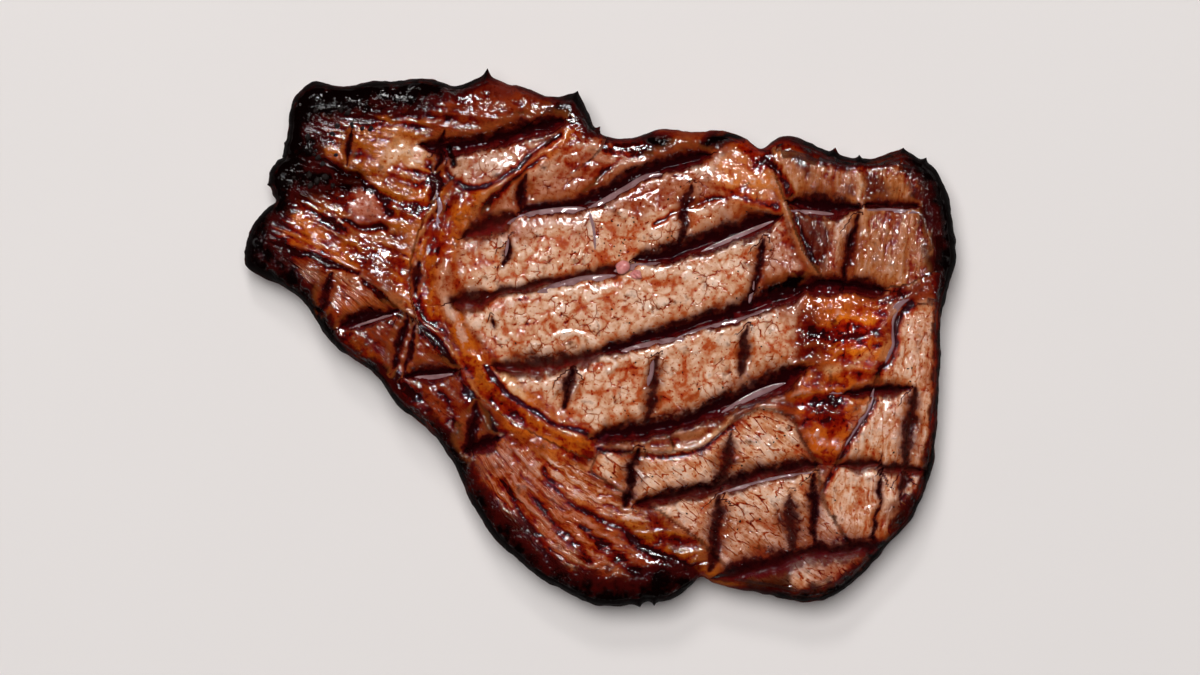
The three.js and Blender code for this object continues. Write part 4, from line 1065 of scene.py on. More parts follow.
def streak_places(plan, u, v, flows, degrees):
    """How far along and across the streaks each plan point is: turned by the degrees where the fibres flow,
    along a line of fat within its width, and with the grid's lines elsewhere."""
    x, y = plan.T
    turned = np.deg2rad(degrees)
    along = np.where(flows, x * np.cos(turned) + y * np.sin(turned), u * GRID_LENGTH)
    across = np.where(flows, -x * np.sin(turned) + y * np.cos(turned), v * GRID_WIDTH)
    for line in FAT_FLOWS:
        chosen, aside, side, width, end_gap = along_line(plan, line, MARK_REACH)
        within = (aside < 1) & ~flows[chosen]
        along[chosen[within]] = end_gap[within]
        across[chosen[within]] = (side * aside * width)[within]
    return along, across


def surface_fields(plan, fine, u, v):
    """Everything that is worked out for each plan point of the upper face and the wall. The grid's lines, u
    along the steak and v across it, run with the outline, and streaks in the crust follow them."""
    uneven = wandering(plan, size=4, reach=0.5, seed=SEED + 10)
    depth, mark, burnt, sag, wet = bar_marks(wandering(plan, size=3.4, reach=0.6, seed=SEED + 15))
    seam_depth, seam = line_share(uneven, SEAMS)
    ridge_height, ridge = line_share(plan, FAT_RIDGES)
    kernel, column, lower, shoulder = (
        zone_share(plan, (zone,), 2.0) for zone in ("kernel", "right column", "lower lean", "right shoulder")
    )
    grain = zone_share(plan, GRAINED, 2.0) * (1 - zone_share(plan, NOT_GRAINED, 2.0))
    strands = zone_share(plan, STRANDED, 2.0)
    smooth = zone_share(plan, SMOOTH, 1.5)
    flows = lower + shoulder + column > 0.5
    degrees = np.where(lower > 0.5, LOWER_LEAN_TURN, np.where(shoulder + column > 0.5, RIGHT_TURN, 0))
    along, across = streak_places(plan, u, v, flows, degrees)
    shoulder_fibre, column_fibre = SHOULDER_FIBRE * shoulder, COLUMN_FIBRE * column
    return {
        "mark depth": depth, "sag": sag, "seam depth": seam_depth, "ridge height": ridge_height,
        "mark": mark, "mark reach": np.abs(mark), "burnt": burnt, "seam": seam, "ridge": ridge,
        "char": char_field(uneven, fine), "grain": np.maximum(grain, KERNEL_GRAIN * kernel),
        "crust": np.clip(1 - grain - column - lower - strands - shoulder_fibre - SMOOTHNESS * smooth, 0, 1),
        "bundle gap": cell_gap(*wandering(plan, size=3, reach=0.9, seed=SEED + 60).T, BUNDLE_SIZE, SEED + 70),
        "fibre": np.clip(strands + LOWER_FIBRE * lower + shoulder_fibre + column_fibre, 0, 1),
        "slit": np.clip(lower + column_fibre, 0, 1),
        "wet": np.maximum(wet, WETNESS * zone_share(plan, WET, 3.0)),
        "along": along, "across": across, "paint": painted(uneven, *plan.T),
    }


# Wall, underside and the whole surface


def crag_pull(outer):
    """How far each point of the outline is drawn out: to a crag's tip at its root, and less beside it."""
    pull = np.zeros_like(outer)
    for x, y, width in CRAGS:
        root = np.linalg.norm(outer - (x, y), axis=1).argmin()
        beside = np.linalg.norm(outer - outer[root], axis=1) / (CRAG_SHARPNESS * width)
        pull += np.exp(-(beside**1.5))[:, None] * (np.array((x, y)) - outer[root])
    return pull


def wall_rings(rim, foot, outer, outward, run, fine, u, v):
    """Vertices of the rounded wall below the rim, ring after ring: out along a superellipse to the outline,
    then in to the foot, with the upper face's relief carried over the edge, shallow lumps and upright
    strands, and each crag drawn out to its tip. Gives their fields and the angle of each too."""
    pull = crag_pull(outer)
    angles = [90 * (k + 1) / UPPER_WALL_STEPS for k in range(UPPER_WALL_STEPS)]
    angles += [90 + 90 * (k + 1) / LOWER_WALL_STEPS for k in range(LOWER_WALL_STEPS)]
    plans, lefts = [], []
    for angle in angles:
        turned = np.deg2rad(angle)
        out = max(np.sin(turned), 0) ** (2 / WALL_POWER)
        left = abs(np.cos(turned)) ** (2 / WALL_POWER)
        inner = rim if angle <= 90 else foot
        down = np.full(len(run), angle / WALL_DEGREES_A_MM)
        lumps = WALL_LUMP_HEIGHT * rough_noise(run, down, WALL_LUMP_SIZE, SEED + 30)
        places = run / WALL_STRAND_WIDTH, down / WALL_STRAND_LENGTH
        lumps += WALL_STRAND_HEIGHT * rough_noise(*places, 1, SEED + 33, 3)
        pulled = pull * np.exp(-(((angle - CRAG_ANGLE) / CRAG_SPREAD) ** 2))
        plans.append(inner + (outer - inner) * out + outward * (lumps * out)[:, None] + pulled)
        lefts.append(np.full(len(run), left if angle <= 90 else -left))
    plan, left = np.vstack(plans), np.concatenate(lefts)
    rings = len(angles)
    fields = surface_fields(plan, fine, np.tile(u, rings), np.tile(v, rings))
    top = upper_relief(plan, fields)
    middle = MID_HEIGHT_SHARE * np.where(left < 0, EDGE_THICKNESS, top)
    z = middle + left * np.where(left < 0, middle, top - middle)
    return np.column_stack([plan, z]), fields, np.repeat(angles, len(run))


def underside(foot_rim):
    """Half as fine a grid inside the foot, flat but for the bars' marks and small dents that go up into the
    meat, and its fields for the material. Both die away near the foot, and the outermost points lie just
    inside it."""
    along, across = CELLS_ALONG // 2, CELLS_ACROSS // 2
    plan = filled_grid(foot_rim, along, across, RELAXING_PASSES // 3)
    x, y = wandering(plan, size=5, reach=0.5, seed=SEED + 40).T
    gap = np.minimum(*(bar_gap(x, y, degrees, pitch) for degrees, pitch in UNDER_BARS)) / UNDER_MARK_WIDTH
    edge = np.linalg.norm(plan[:, None] - foot_rim[None, ::UNDER_STRIDE], axis=2).min(1)
    calm = step_up(edge, 0, UNDER_MARGIN)
    dents = DENT_HEIGHT * (1 + rough_noise(x, y, DENT_SIZE, SEED + 44))
    z = calm * (UNDER_MARK_DEPTH * np.exp(-(gap**4) / 2) + dents)
    mark = ACROSS_LIMIT - (ACROSS_LIMIT - np.minimum(gap, ACROSS_LIMIT)) * calm
    fields = {name: np.full(len(plan), value) for name, value in UNDER_FIELDS.items()}
    fields.update({
        "mark": mark, "mark reach": mark, "char": UNDER_CHAR * (1 - calm), "along": plan[:, 0].copy(),
        "across": plan[:, 1].copy(), "paint": np.tile(linear(HUES["lean brown"]), (len(plan), 1)),
    })
    plan[rim_numbers(along, across)] = foot_rim * FOOT_INSET
    return np.column_stack([plan, z]), fields


def bar_gap(x, y, degrees, pitch):
    """Distance to the nearest of a set of straight bars that far apart."""
    turned = np.deg2rad(degrees)
    place = (-x * np.sin(turned) + y * np.cos(turned)) / pitch
    return np.abs(place - np.round(place)) * pitch


def make_mesh(name, vertices, faces):
    """Mesh object at the origin, in metres, smooth."""
    mesh = bpy.data.meshes.new(name)
    mesh.from_pydata((np.asarray(vertices) * MM).tolist(), [], faces)
    mesh.polygons.foreach_set("use_smooth", np.ones(len(mesh.polygons), bool))
    mesh.update()
    piece = bpy.data.objects.new(name, mesh)
    bpy.context.scene.collection.objects.link(piece)
    return piece


def give_values(piece, name, values):
    """Stores a number, or a colour, for each vertex under that name."""
    if values.ndim == 1:
        piece.data.attributes.new(name, "FLOAT", "POINT").data.foreach_set("value", values.astype(np.float32))
    else:
        full = np.column_stack([values, np.ones(len(values))]).astype(np.float32)
        piece.data.attributes.new(name, "FLOAT_COLOR", "POINT").data.foreach_set("color", full.ravel())


def steak_faces(rim_vertices, wall_start, under_start):
    """Faces of the closed surface: the upper grid, the wall's rings, the lower grid turned face down, and
    between the foot and the lower grid five-sided faces, because the foot has twice as many points."""
    faces = grid_faces(CELLS_ALONG, CELLS_ACROSS, 0).tolist()
    above = rim_vertices
    for ring in range(UPPER_WALL_STEPS + LOWER_WALL_STEPS):
        below = wall_start + ring * len(rim_vertices) + np.arange(len(rim_vertices))
        faces += ring_faces(above, below).tolist()
        above = below
    along, across = CELLS_ALONG // 2, CELLS_ACROSS // 2
    faces += grid_faces(along, across, under_start)[:, ::-1].tolist()
    inner = under_start + rim_numbers(along, across)
    foot, halfway = above[::2], above[1::2]
    five_sided = [foot, halfway, np.roll(foot, -1), np.roll(inner, -1), inner]
    return faces + np.stack(five_sided, 1).tolist()


def steak_surface(outline):
    """The steak as one closed mesh, with its fields for the material. The first material is the wet one of
    the upper face and underside, the second the dry one of the wall."""
    fine, rim_fine, foot_fine, outward_fine, step = outline
    places = edge_places(fine)
    rim, foot, outer, outward = (curve[places] for curve in (rim_fine, foot_fine, fine, outward_fine))
    plan = filled_grid(rim, CELLS_ALONG, CELLS_ACROSS, RELAXING_PASSES)
    rim_vertices = rim_numbers(CELLS_ALONG, CELLS_ACROSS)
    row, column = np.divmod(np.arange(len(plan)), CELLS_ALONG + 1)
    u, v = column / CELLS_ALONG, row / CELLS_ACROSS
    upper_fields = surface_fields(plan, fine, u, v)
    z = upper_relief(plan, upper_fields)
    # Hollowness darkens recesses in the tone: partly painted shade, partly juice that gathers there
    upper_fields["hollow"] = hollowness(z + upper_fields["mark depth"], CELLS_ALONG, CELLS_ACROSS)

    run = places * step
    rim_u, rim_v = u[rim_vertices], v[rim_vertices]
    wall, wall_fields, angles = wall_rings(rim, foot, outer, outward, run, fine, rim_u, rim_v)
    wall_fields["hollow"] = np.zeros(len(wall))
    halfway_down = step_up(angles, *CHAR_FADES) * (1 - step_up(angles, *CHAR_RETURNS))
    wall_fields["char"] *= 1 - CHAR_LOSS * halfway_down

    under, under_fields = underside(foot[::2])
    faces = steak_faces(rim_vertices, len(plan), len(plan) + len(wall))
    piece = make_mesh("ribeye_steak", np.vstack([np.column_stack([plan, z]), wall, under]), faces)
    angle = np.concatenate([np.zeros(len(plan)), angles, np.full(len(under), 180.0)])
    corner_angle = angle[np.array([face[0] for face in faces])]
    is_wall = (corner_angle > DRY_FROM) & (corner_angle < DRY_TO)
    piece.data.polygons.foreach_set("material_index", is_wall.astype(np.int32))

    values = {
        name: np.concatenate([fields[name] for fields in (upper_fields, wall_fields, under_fields)])
        for name in under_fields
    }
    walled = step_up(angle, *WALL_HUE_RISES) * (1 - step_up(angle, *WALL_HUE_FADES))
    values["paint"] += WALL_HUE_STRENGTH * walled[:, None] * (linear(HUES["wall"]) - values["paint"])
    values["steep"] = step_up(angle, *STEEP_RISES) * (1 - step_up(angle, *STEEP_FADES))
    for name, value in values.items():
        give_values(piece, name, value)
    return piece


# Juice, crumbs, pepper and flakes


def ground(plan, outline):
    """Height of the steak's upper face at plan points."""
    even = np.full(len(plan), 0.5)
    return upper_relief(plan, surface_fields(plan, outline[0], even, even))


def joined(name, parts):
    """One mesh object of several separate closed surfaces, each given as vertices and faces."""
    vertices, faces, count = [], [], 0
    for own_vertices, own_faces in parts:
        vertices.append(own_vertices)
        faces += [[count + corner for corner in face] for face in own_faces]
        count += len(own_vertices)
    return make_mesh(name, np.vstack(vertices), faces)


def closed_tube(rings):
    """Vertices and faces of a closed surface through rings of points, with a point amid each end."""
    count, around = rings.shape[:2]
    first, last = count * around, count * around + 1
    here = np.arange(around)
    following, base = (here + 1) % around, (count - 1) * around
    sides = [ring_faces(ring * around + here, (ring + 1) * around + here) for ring in range(count - 1)]
    faces = np.concatenate(sides).tolist()
    faces += np.stack([following, here, np.full(around, first)], 1).tolist()
    faces += np.stack([base + here, base + following, np.full(around, last)], 1).tolist()
    ends = np.stack([rings[0].mean(0), rings[-1].mean(0)])
    return np.vstack([rings.reshape(-1, 3), ends]), faces


def pool(line, fill, outline):
    """A film of juice along a line of x, y and half width, with rounded ends: level along its run, a little
    higher at its edges, and never thicker than the fill over the meat under it."""
    path = open_curve(line, POOL_STEP)
    way = np.gradient(path[:, :2], axis=0)
    way /= np.linalg.norm(way, axis=1)[:, None]
    across = np.stack([way[:, 1], -way[:, 0]], 1)
    run = np.linspace(-1, 1, len(path))
    width = path[:, 2] * np.sqrt(np.maximum(1 - np.abs(run) ** 5, POOL_TIP))
    v = -np.cos(np.linspace(0, np.pi, POOL_COLUMNS))
    plan = path[:, None, :2] + across[:, None] * (width[:, None] * v)[..., None]
    under = ground(plan.reshape(-1, 2), outline).reshape(len(path), len(v))
    middle = np.pad(under[:, 3:-3].mean(1), POOL_LEVELLING, mode="edge")
    window = 2 * POOL_LEVELLING + 1
    level = np.convolve(middle, np.ones(window) / window, "valid")[:, None] + POOL_LEVEL * fill
    top = np.minimum(level + POOL_EDGE_RISE * v**2, under + fill * (1 - v**4) - POOL_EDGE_DIP)
    bottom = np.minimum(under, top) - POOL_SINK
    rings = np.concatenate([np.dstack([plan, top]), np.dstack([plan, bottom])[:, -2:0:-1]], axis=1)
    return closed_tube(rings)


def lump(centre, size, flatness, seed, around, rows):
    """A knobbly closed ball: a sphere whose radius wanders by a few sines, pressed flat by the flatness and
    turned at random."""
    rng = np.random.default_rng(seed)
    turns = np.linspace(0, 2 * np.pi, around, endpoint=False)
    turn, tilt = np.meshgrid(turns, np.linspace(POLE_GAP, np.pi - POLE_GAP, rows))
    way = np.stack([np.sin(tilt) * np.cos(turn), np.sin(tilt) * np.sin(turn), np.cos(tilt)], -1)
    waves = rng.normal(size=(KNOB_SINES, 3)) * KNOB_TIGHTNESS
    radius = 1 + KNOB_HEIGHT * np.sin(way @ waves.T + rng.uniform(0, 6, KNOB_SINES)).sum(-1)
    shape = way * radius[..., None] * size * np.array((1, LUMP_NARROWER, flatness))
    angle = rng.uniform(0, np.pi)
    spin = np.array([(np.cos(angle), np.sin(angle), 0), (-np.sin(angle), np.cos(angle), 0), (0, 0, 1)])
    return closed_tube((shape @ spin + centre)[::-1])


def strewn_lumps(name, places, sizes, flatness, rise, fineness, outline):
    """One object of small lumps on the meat, their centres above it by the rise times their size."""
    places = np.array(places, float)
    centres = np.column_stack([places, ground(places, outline) + np.asarray(sizes) * rise])
    return joined(name, [
        lump(centre, size, flatness, SEED + number, *fineness)
        for number, (centre, size) in enumerate(zip(centres, sizes))
    ])


def pepper_places():
    """Specks of pepper: a few together by the juice, and others strewn over the lean."""
    rng = np.random.default_rng(SEED + 200)
    clump = np.array(PEPPER_CLUMP) + rng.normal(size=(PEPPER_IN_CLUMP, 2)) * PEPPER_CLUMP_SPREAD
    strewn = rng.uniform(*PEPPER_AREA, (PEPPER_STREWN, 2))
    lean = zone_share(strewn, ("eye", "lower lean", "right column"), 1.0) > 0.6
    return np.vstack([clump, strewn[lean]])


def flake_places():
    """Flakes of char, strewn just inside the widest burnt edges."""
    rng = np.random.default_rng(SEED + 300)
    anchors = np.array([place for place in CHAR_EDGE if place[2] > FLAKED_EDGE])
    chosen = anchors[rng.integers(0, len(anchors), FLAKE_COUNT)]
    inward = -chosen[:, :2] / np.linalg.norm(chosen[:, :2], axis=1)[:, None]
    inside = rng.uniform(*FLAKES_INSIDE, (FLAKE_COUNT, 1))
    places = chosen[:, :2] + inward * inside + rng.normal(size=(FLAKE_COUNT, 2)) * FLAKE_SPREAD
    inner, depth = inside_area(places, OUTLINE, 0)
    return places[inner[depth > RIM_WIDTH]]


# Materials


def add_node(tree, kind, inputs=(), output=0, stops=(), **settings):
    """Adds one node with its settings, feeds its inputs with values or nodes' outputs, gives one output."""
    made = tree.nodes.new("ShaderNode" + kind)
    for name, value in settings.items():
        setattr(made, name, value)
    for number, (place, code, cover) in enumerate(stops):
        ramp = made.color_ramp.elements
        stop = ramp[number] if number < 2 else ramp.new(1)
        stop.position, stop.color = place, (*linear(code), cover)
    for key, value in inputs.items() if isinstance(inputs, dict) else enumerate(inputs):
        if isinstance(value, bpy.types.NodeSocket):
            tree.links.new(value, made.inputs[key])
        else:
            made.inputs[key].default_value = value
    return made.outputs[output] if made.outputs else made


def new_material(name):
    """An empty material, and the function that adds its nodes."""
    material = bpy.data.materials.new(name)
    material.use_nodes = True
    material.node_tree.nodes.clear()
    return material, partial(add_node, material.node_tree)


def opaque(code):
    """A linear colour with full cover."""
    return (*linear(code), 1.0)


def across_stops(stops):
    """Ramp stops placed by half widths across a mark."""
    return [((t + ACROSS_LIMIT) / (2 * ACROSS_LIMIT), code, cover) for t, code, cover in stops]


def summed(add, p, parts, total):
    """Adds to a total each pattern times its mask and its weight. A mask or pattern is a name or a
    number."""
    for mask, pattern, weight in parts:
        masked = add("Math", [p.get(mask, mask), p.get(pattern, pattern)], operation="MULTIPLY")
        total = add("Math", [masked, weight, total], operation="MULTIPLY_ADD")
    return total


def crust_patterns(add, flat):
    """The surface's fields and the noises, by name, that the crust's colour, relief and shine build on."""
    p = {field: add("Attribute", output="Fac", attribute_name=field) for field in FIELDS}
    p["paint"] = add("Attribute", output="Color", attribute_name="paint")
    p["place"] = add("TexCoord", output="Object")
    for name, size, detail in NOISES:
        inputs = {"Vector": p["place"], "Scale": 1 / (size * MM), "Detail": detail}
        p[name] = add("TexNoise", inputs, "Color" if name == "wobble" else 0, noise_dimensions=flat)
    p["speck"] = add("MapRange", [p["speck"], *RANGES["speck"]])
    both = add("Math", [p["medium"], p["fine"]], operation="ADD")
    p["ragged"] = add("Math", [both, 1.0], operation="SUBTRACT")
    return p


def fibre_bundles(add, p, flat):
    """Bundles of muscle fibre seen end on: plump and pale, brown-edged, cracked apart in places."""
    warped = add("VectorMath", [p["wobble"], (BUNDLE_WARP * MM,) * 3, p["place"]], operation="MULTIPLY_ADD")
    bundles = {"Vector": warped, "Scale": 1 / (SMALL_BUNDLE_SIZE * MM)}
    small = add("TexVoronoi", bundles, "Distance", feature="DISTANCE_TO_EDGE", voronoi_dimensions=flat)
    p["kind"] = add("SeparateColor", [add("TexVoronoi", bundles, "Color", voronoi_dimensions=flat)])
    parted = add("MapRange", [p["coarse"], *RANGES["parted"]], **EASED)
    rounded = add("MapRange", [small, *RANGES["rounded"]], **EASED)
    p["rounded"] = add("Math", [rounded, parted], operation="MULTIPLY")
    plump = add("MapRange", [small, *RANGES["plump"]], **EASED)
    p["plump"] = add("Math", [plump, parted], operation="MULTIPLY")
    large_edge = add("MapRange", [p["bundle gap"], *RANGES["large edge"]], **EASED)
    patches = add("MapRange", [p["medium"], *RANGES["patches"]])
    p["large edge"] = add("Math", [large_edge, patches], operation="MULTIPLY")
    wide_crack = add("MapRange", [p["bundle gap"], *RANGES["wide crack"]], **EASED)
    thin_crack = add("MapRange", [small, *RANGES["thin crack"]], **EASED)
    thin_crack = add("Math", [thin_crack, parted], operation="MULTIPLY")
    crack = add("Math", [wide_crack, thin_crack], operation="MAXIMUM")
    open_here = add("MapRange", [p["broad"], *RANGES["open here"]], **EASED)
    p["crack"] = add("Math", [crack, open_here], operation="MULTIPLY")


def muscle_strands(add, p):
    """Strands along the muscle with short slits between them, and streaks of melted fat that run the same
    way. The places are stretched along the streaks by less than across them, and noise bends them."""
    flow = add("CombineXYZ", [add("Math", [p["along"], STRAND_STRETCH], operation="MULTIPLY"), p["across"]])
    flow = add("VectorMath", [p["wobble"], STRAND_BEND, flow], operation="MULTIPLY_ADD")
    streaks = add("CombineXYZ", [add("Math", [p["along"], MELT_STRETCH], operation="MULTIPLY"), p["across"]])
    streaks = add("VectorMath", [p["wobble"], MELT_BEND, streaks], operation="MULTIPLY_ADD")
    for name, place, scale, detail in (
        ("strand", flow, 0.9, 2), ("hair", flow, 2.0, 1),
        ("melted", streaks, 0.17, 2), ("thread", streaks, 0.8, 1),
    ):
        p[name] = add("TexNoise", {"Vector": place, "Scale": scale, "Detail": detail}, noise_dimensions="2D")
    bent = add("TexNoise", {"Vector": flow, "Scale": 0.5, "Detail": 1.0}, "Color")
    slits = add("CombineXYZ", [p["along"], p["across"]])
    slits = add("VectorMath", [slits, SLIT_SCALE], operation="MULTIPLY")
    slits = add("VectorMath", [bent, SLIT_BEND, slits], operation="MULTIPLY_ADD")
    inputs = {"Vector": slits, "Scale": 1.0}
    cut = add("TexVoronoi", inputs, "Distance", feature="DISTANCE_TO_EDGE", voronoi_dimensions="2D")
    cut = add("MapRange", [cut, *RANGES["cut"]])
    cut_here = add("MapRange", [p["medium"], *RANGES["cut here"]])
    p["cut"] = add("Math", [cut, cut_here], operation="MULTIPLY")


def creeping_char(add, p):
    """Char that creeps in from the edge: first a deep red stain, then black, crinkled in places."""
    creeping = add("Math", [p["ragged"], CREEP_RAGGED, p["char"]], operation="MULTIPLY_ADD")
    centred = add("Math", [p["broad"], 0.5], operation="SUBTRACT")
    creeping = add("Math", [centred, CREEP_PATCHY, creeping], operation="MULTIPLY_ADD")
    p["scorch"] = add("MapRange", [creeping, *RANGES["scorch"]], **EASED)
    p["black"] = add("MapRange", [creeping, *RANGES["black"]], **EASED)
    crinkled = add("MapRange", [p["broad"], *RANGES["crinkled"]], **EASED)
    p["crinkled"] = add("Math", [p["black"], crinkled], operation="MULTIPLY")


def browned_shaded_paint(add, p, stain):
    """The painted colour, browned: one number darkens it through deep red to near black, or bleaches it; that
    number also paints shade into recesses and a sheen onto wet places. Where it is pale and bare of fat it
    goes paler, partly the meat's own pale colour and partly a painted sheen, and the stain says how deep the
    scorch colours it."""
    tone = summed(add, p, BROWNING_SHADE_AND_SHEEN, TONE_START)
    tone = add("Math", [tone, TONE_CONTRAST, TONE_SHIFT], operation="MULTIPLY_ADD")
    browned = add("VectorMath", [p["paint"], add("ValToRGB", [tone], stops=TONE_STOPS)], operation="MULTIPLY")
    browned = add("VectorMath", {0: browned, "Scale": PAINT_GAIN}, operation="SCALE")
    pale = add("MapRange", [add("SeparateColor", [p["paint"]]), *RANGES["pale"]])
    # Paler where pale and bare of fat: partly the meat's own colour, partly a painted sheen
    bare = add("Math", [p["crust"], -0.35, tone], operation="MULTIPLY_ADD")
    bare = add("MapRange", [bare, *RANGES["bare"]])
    bare = add("Math", [bare, pale], operation="MULTIPLY")
    browned = add("Mix", {FACTOR: bare, FIRST: browned, SECOND: opaque(BLEACHED_AND_SHEEN)}, RESULT, data_type="RGBA")
    stain = add("Math", [p["scorch"], stain], operation="MULTIPLY")
    return add("Mix", {FACTOR: stain, FIRST: browned, SECOND: opaque(SCORCHED)}, RESULT, data_type="RGBA")


def marked_by_bars(add, p, browned):
    """The browned colour under the bars' marks: black on the side in shade, partly char and partly painted
    shade, mahogany where less burnt, with a brown halo that is partly painted shade too and a ragged lip, and
    then under the black of the char."""
    wave = add("Math", [p["mark"], 0.95], operation="SUBTRACT")
    wave = add("Math", [p["medium"], 1.3, wave], operation="MULTIPLY_ADD")
    wave = add("Math", [p["fine"], 0.6, wave], operation="MULTIPLY_ADD")
    spot = add("MapRange", [wave, -ACROSS_LIMIT, ACROSS_LIMIT])
    # These ramps paint shade on each mark's side in shade, over its char
    burnt_bar_with_shade = add("ValToRGB", [spot], stops=across_stops(BURNT_BAR_WITH_SHADE))
    red_bar_with_shade = add("ValToRGB", [spot], stops=across_stops(RED_BAR_WITH_SHADE))
    burning = add("Math", [p["ragged"], 0.5, p["burnt"]], operation="MULTIPLY_ADD")
    p["burning"] = add("MapRange", [burning, *RANGES["burning"]])
    bar = add("Mix", {FACTOR: p["burning"], FIRST: red_bar_with_shade, SECOND: burnt_bar_with_shade}, RESULT, data_type="RGBA")
    covers = [ramp.node.outputs["Alpha"] for ramp in (red_bar_with_shade, burnt_bar_with_shade)]
    cover = add("Mix", {FACTOR: p["burning"], FIRST_NUMBER: covers[0], SECOND_NUMBER: covers[1]})
    by_mark = add("MapRange", [p["mark reach"], *RANGES["by mark"]])
    p["cover"] = add("Math", [cover, by_mark], operation="MULTIPLY")
    marked = add("Mix", {FACTOR: p["cover"], FIRST: browned, SECOND: bar}, RESULT, data_type="RGBA")
    charred = {FACTOR: p["black"], FIRST: marked, SECOND: opaque(BLACKENED)}
    return add("Mix", charred, RESULT, data_type="RGBA")


def crust_relief(add, p):
    """Fine relief in millimetres, crinkled where wet or burnt, but smooth in the marks, which juice fills."""
    in_mark = add("MapRange", [p["mark reach"], *RANGES["in mark"]], **EASED)
    lit_side = add("MapRange", [p["mark"], *RANGES["lit side"]])
    in_mark = add("Math", [in_mark, lit_side], operation="MULTIPLY")
    smooth = add("Math", [p["black"], 0.9], operation="MULTIPLY")
    smooth = add("Math", [in_mark, smooth], operation="MAXIMUM")
    rough = add("MapRange", [smooth, *RANGES["rough"]])
    height = add("Math", [summed(add, p, RELIEF, 0.0), rough], operation="MULTIPLY")
    height = summed(add, p, CRINKLES, height)
    return add("Bump", {"Strength": 1.0, "Distance": MM, "Height": height})


def film_of_juice(add, p):
    """The shine of a film of fat and juice, which soot dulls: in the marks' burnt floors, on char that
    isn't crinkled, on the darkest paint, where scorched and on the steep edge."""
    slick = add("Math", [p["crust"], p["wet"]], operation="ADD")
    slick = add("Math", [slick, p["cover"]], operation="ADD")
    dull = add("Math", [p["coarse"], slick], operation="SUBTRACT")
    shine = add("MapRange", [dull, *RANGES["shine"]])
    shaded = add("Math", [p["burning"], 0.85], operation="MAXIMUM")
    past_lip = add("MapRange", [p["mark"], *RANGES["past lip"]])
    shaded = add("Math", [past_lip, shaded], operation="MULTIPLY")
    before_lip = add("MapRange", [p["mark"], *RANGES["before lip"]])
    shaded = add("Math", [shaded, before_lip], operation="MULTIPLY")
    flat_char = add("Math", [p["black"], p["crinkled"]], operation="SUBTRACT")
    dark_paint = add("MapRange", [add("SeparateColor", [p["paint"]]), *RANGES["dark paint"]])
    scorched = add("Math", [p["scorch"], 0.5], operation="MULTIPLY")
    sooty = shaded
    for part in (flat_char, dark_paint, scorched, p["steep"]):
        sooty = add("Math", [sooty, part], operation="MAXIMUM")
    level = add("MapRange", [sooty, *RANGES["level"]])
    coat = add("MapRange", [sooty, *RANGES["coat"]])
    return {"Roughness": shine, "Specular IOR Level": level, "IOR": 1.45, "Coat Weight": coat,
            "Coat Roughness": 0.05, "Coat IOR": 1.4}


def seared_beef(name, wet):
    """Seared beef and fat, grilled over bars: browned protein, rendered fat and char. Where wet, a film of
    melted fat and juice deepens the colours and makes every small bump gleam; the burnt sides are dry and
    dull."""
    material, add = new_material(name)
    flat = "2D" if wet else "3D"
    p = crust_patterns(add, flat)
    fibre_bundles(add, p, flat)
    muscle_strands(add, p)
    creeping_char(add, p)
    colour = marked_by_bars(add, p, browned_shaded_paint(add, p, WET_STAIN if wet else DRY_STAIN))
    shine = film_of_juice(add, p) if wet else {"Roughness": 0.7, "Specular IOR Level": 0.02}
    inputs = {"Base Color": colour, "Normal": crust_relief(add, p), **shine}
    add("OutputMaterial", {"Surface": add("BsdfPrincipled", inputs)})
    return material


def clouded(add, size, detail, dark, light, edges=()):
    """A colour that goes from dark to light in clouds of that size in millimetres, or between the edges
    given, and the cloud that it follows."""
    place = add("TexCoord", output="Object")
    cloud = add("TexNoise", {"Vector": place, "Scale": 1 / (size * MM), "Detail": detail})
    share = add("MapRange", [cloud, *edges]) if edges else cloud
    mixed = {FACTOR: share, FIRST: opaque(dark), SECOND: opaque(light)}
    return add("Mix", mixed, RESULT, data_type="RGBA"), cloud


def meat_juice():
    """Meat juice: dark mahogany clouded with a lilac-grey that is a painted reflection of the light above,
    with a smooth glossy top.
    """
    material, add = new_material("meat_juice")
    # The light lilac-grey colour is a painted reflection
    colour, _ = clouded(add, 4, 2.0, "#5A2E30", "#A68688")
    inputs = {"Base Color": colour, "Roughness": 0.06, "IOR": 1.38, "Coat Weight": 0.5,
              "Coat Roughness": 0.03}
    add("OutputMaterial", {"Surface": add("BsdfPrincipled", inputs)})
    return material


def crumb_fat():
    """Soft crumbs of rendered fat, pink from the juice and moist."""
    material, add = new_material("crumb_fat")
    colour, _ = clouded(add, 1.2, 2.0, "#A84A4C", "#E6A09A")
    inputs = {"Base Color": colour, "Roughness": 0.25, "IOR": 1.45, "Subsurface Weight": 0.15,
              "Subsurface Scale": 0.5 * MM}
    add("OutputMaterial", {"Surface": add("BsdfPrincipled", inputs)})
    return material


def cracked_pepper():
    """Cracked black pepper: dull dark husk with paler broken faces."""
    material, add = new_material("cracked_pepper")
    colour, _ = clouded(add, 0.4, 2.0, "#0E0705", "#3A281A", (0.55, 0.7))
    inputs = {"Base Color": colour, "Roughness": 0.6, "Specular IOR Level": 0.1}
    add("OutputMaterial", {"Surface": add("BsdfPrincipled", inputs)})
    return material


def burnt_flakes():
    """Flakes of char: brittle carbon, black and faintly greasy."""
    material, add = new_material("burnt_flakes")
    colour, cloud = clouded(add, 0.6, 3.0, "#050404", "#1C0E0A")
    bump = add("Bump", {"Strength": 1.0, "Distance": 0.3 * MM, "Height": cloud})
    inputs = {"Base Color": colour, "Roughness": 0.6, "Specular IOR Level": 0.1, "Normal": bump}
    add("OutputMaterial", {"Surface": add("BsdfPrincipled", inputs)})
    return material


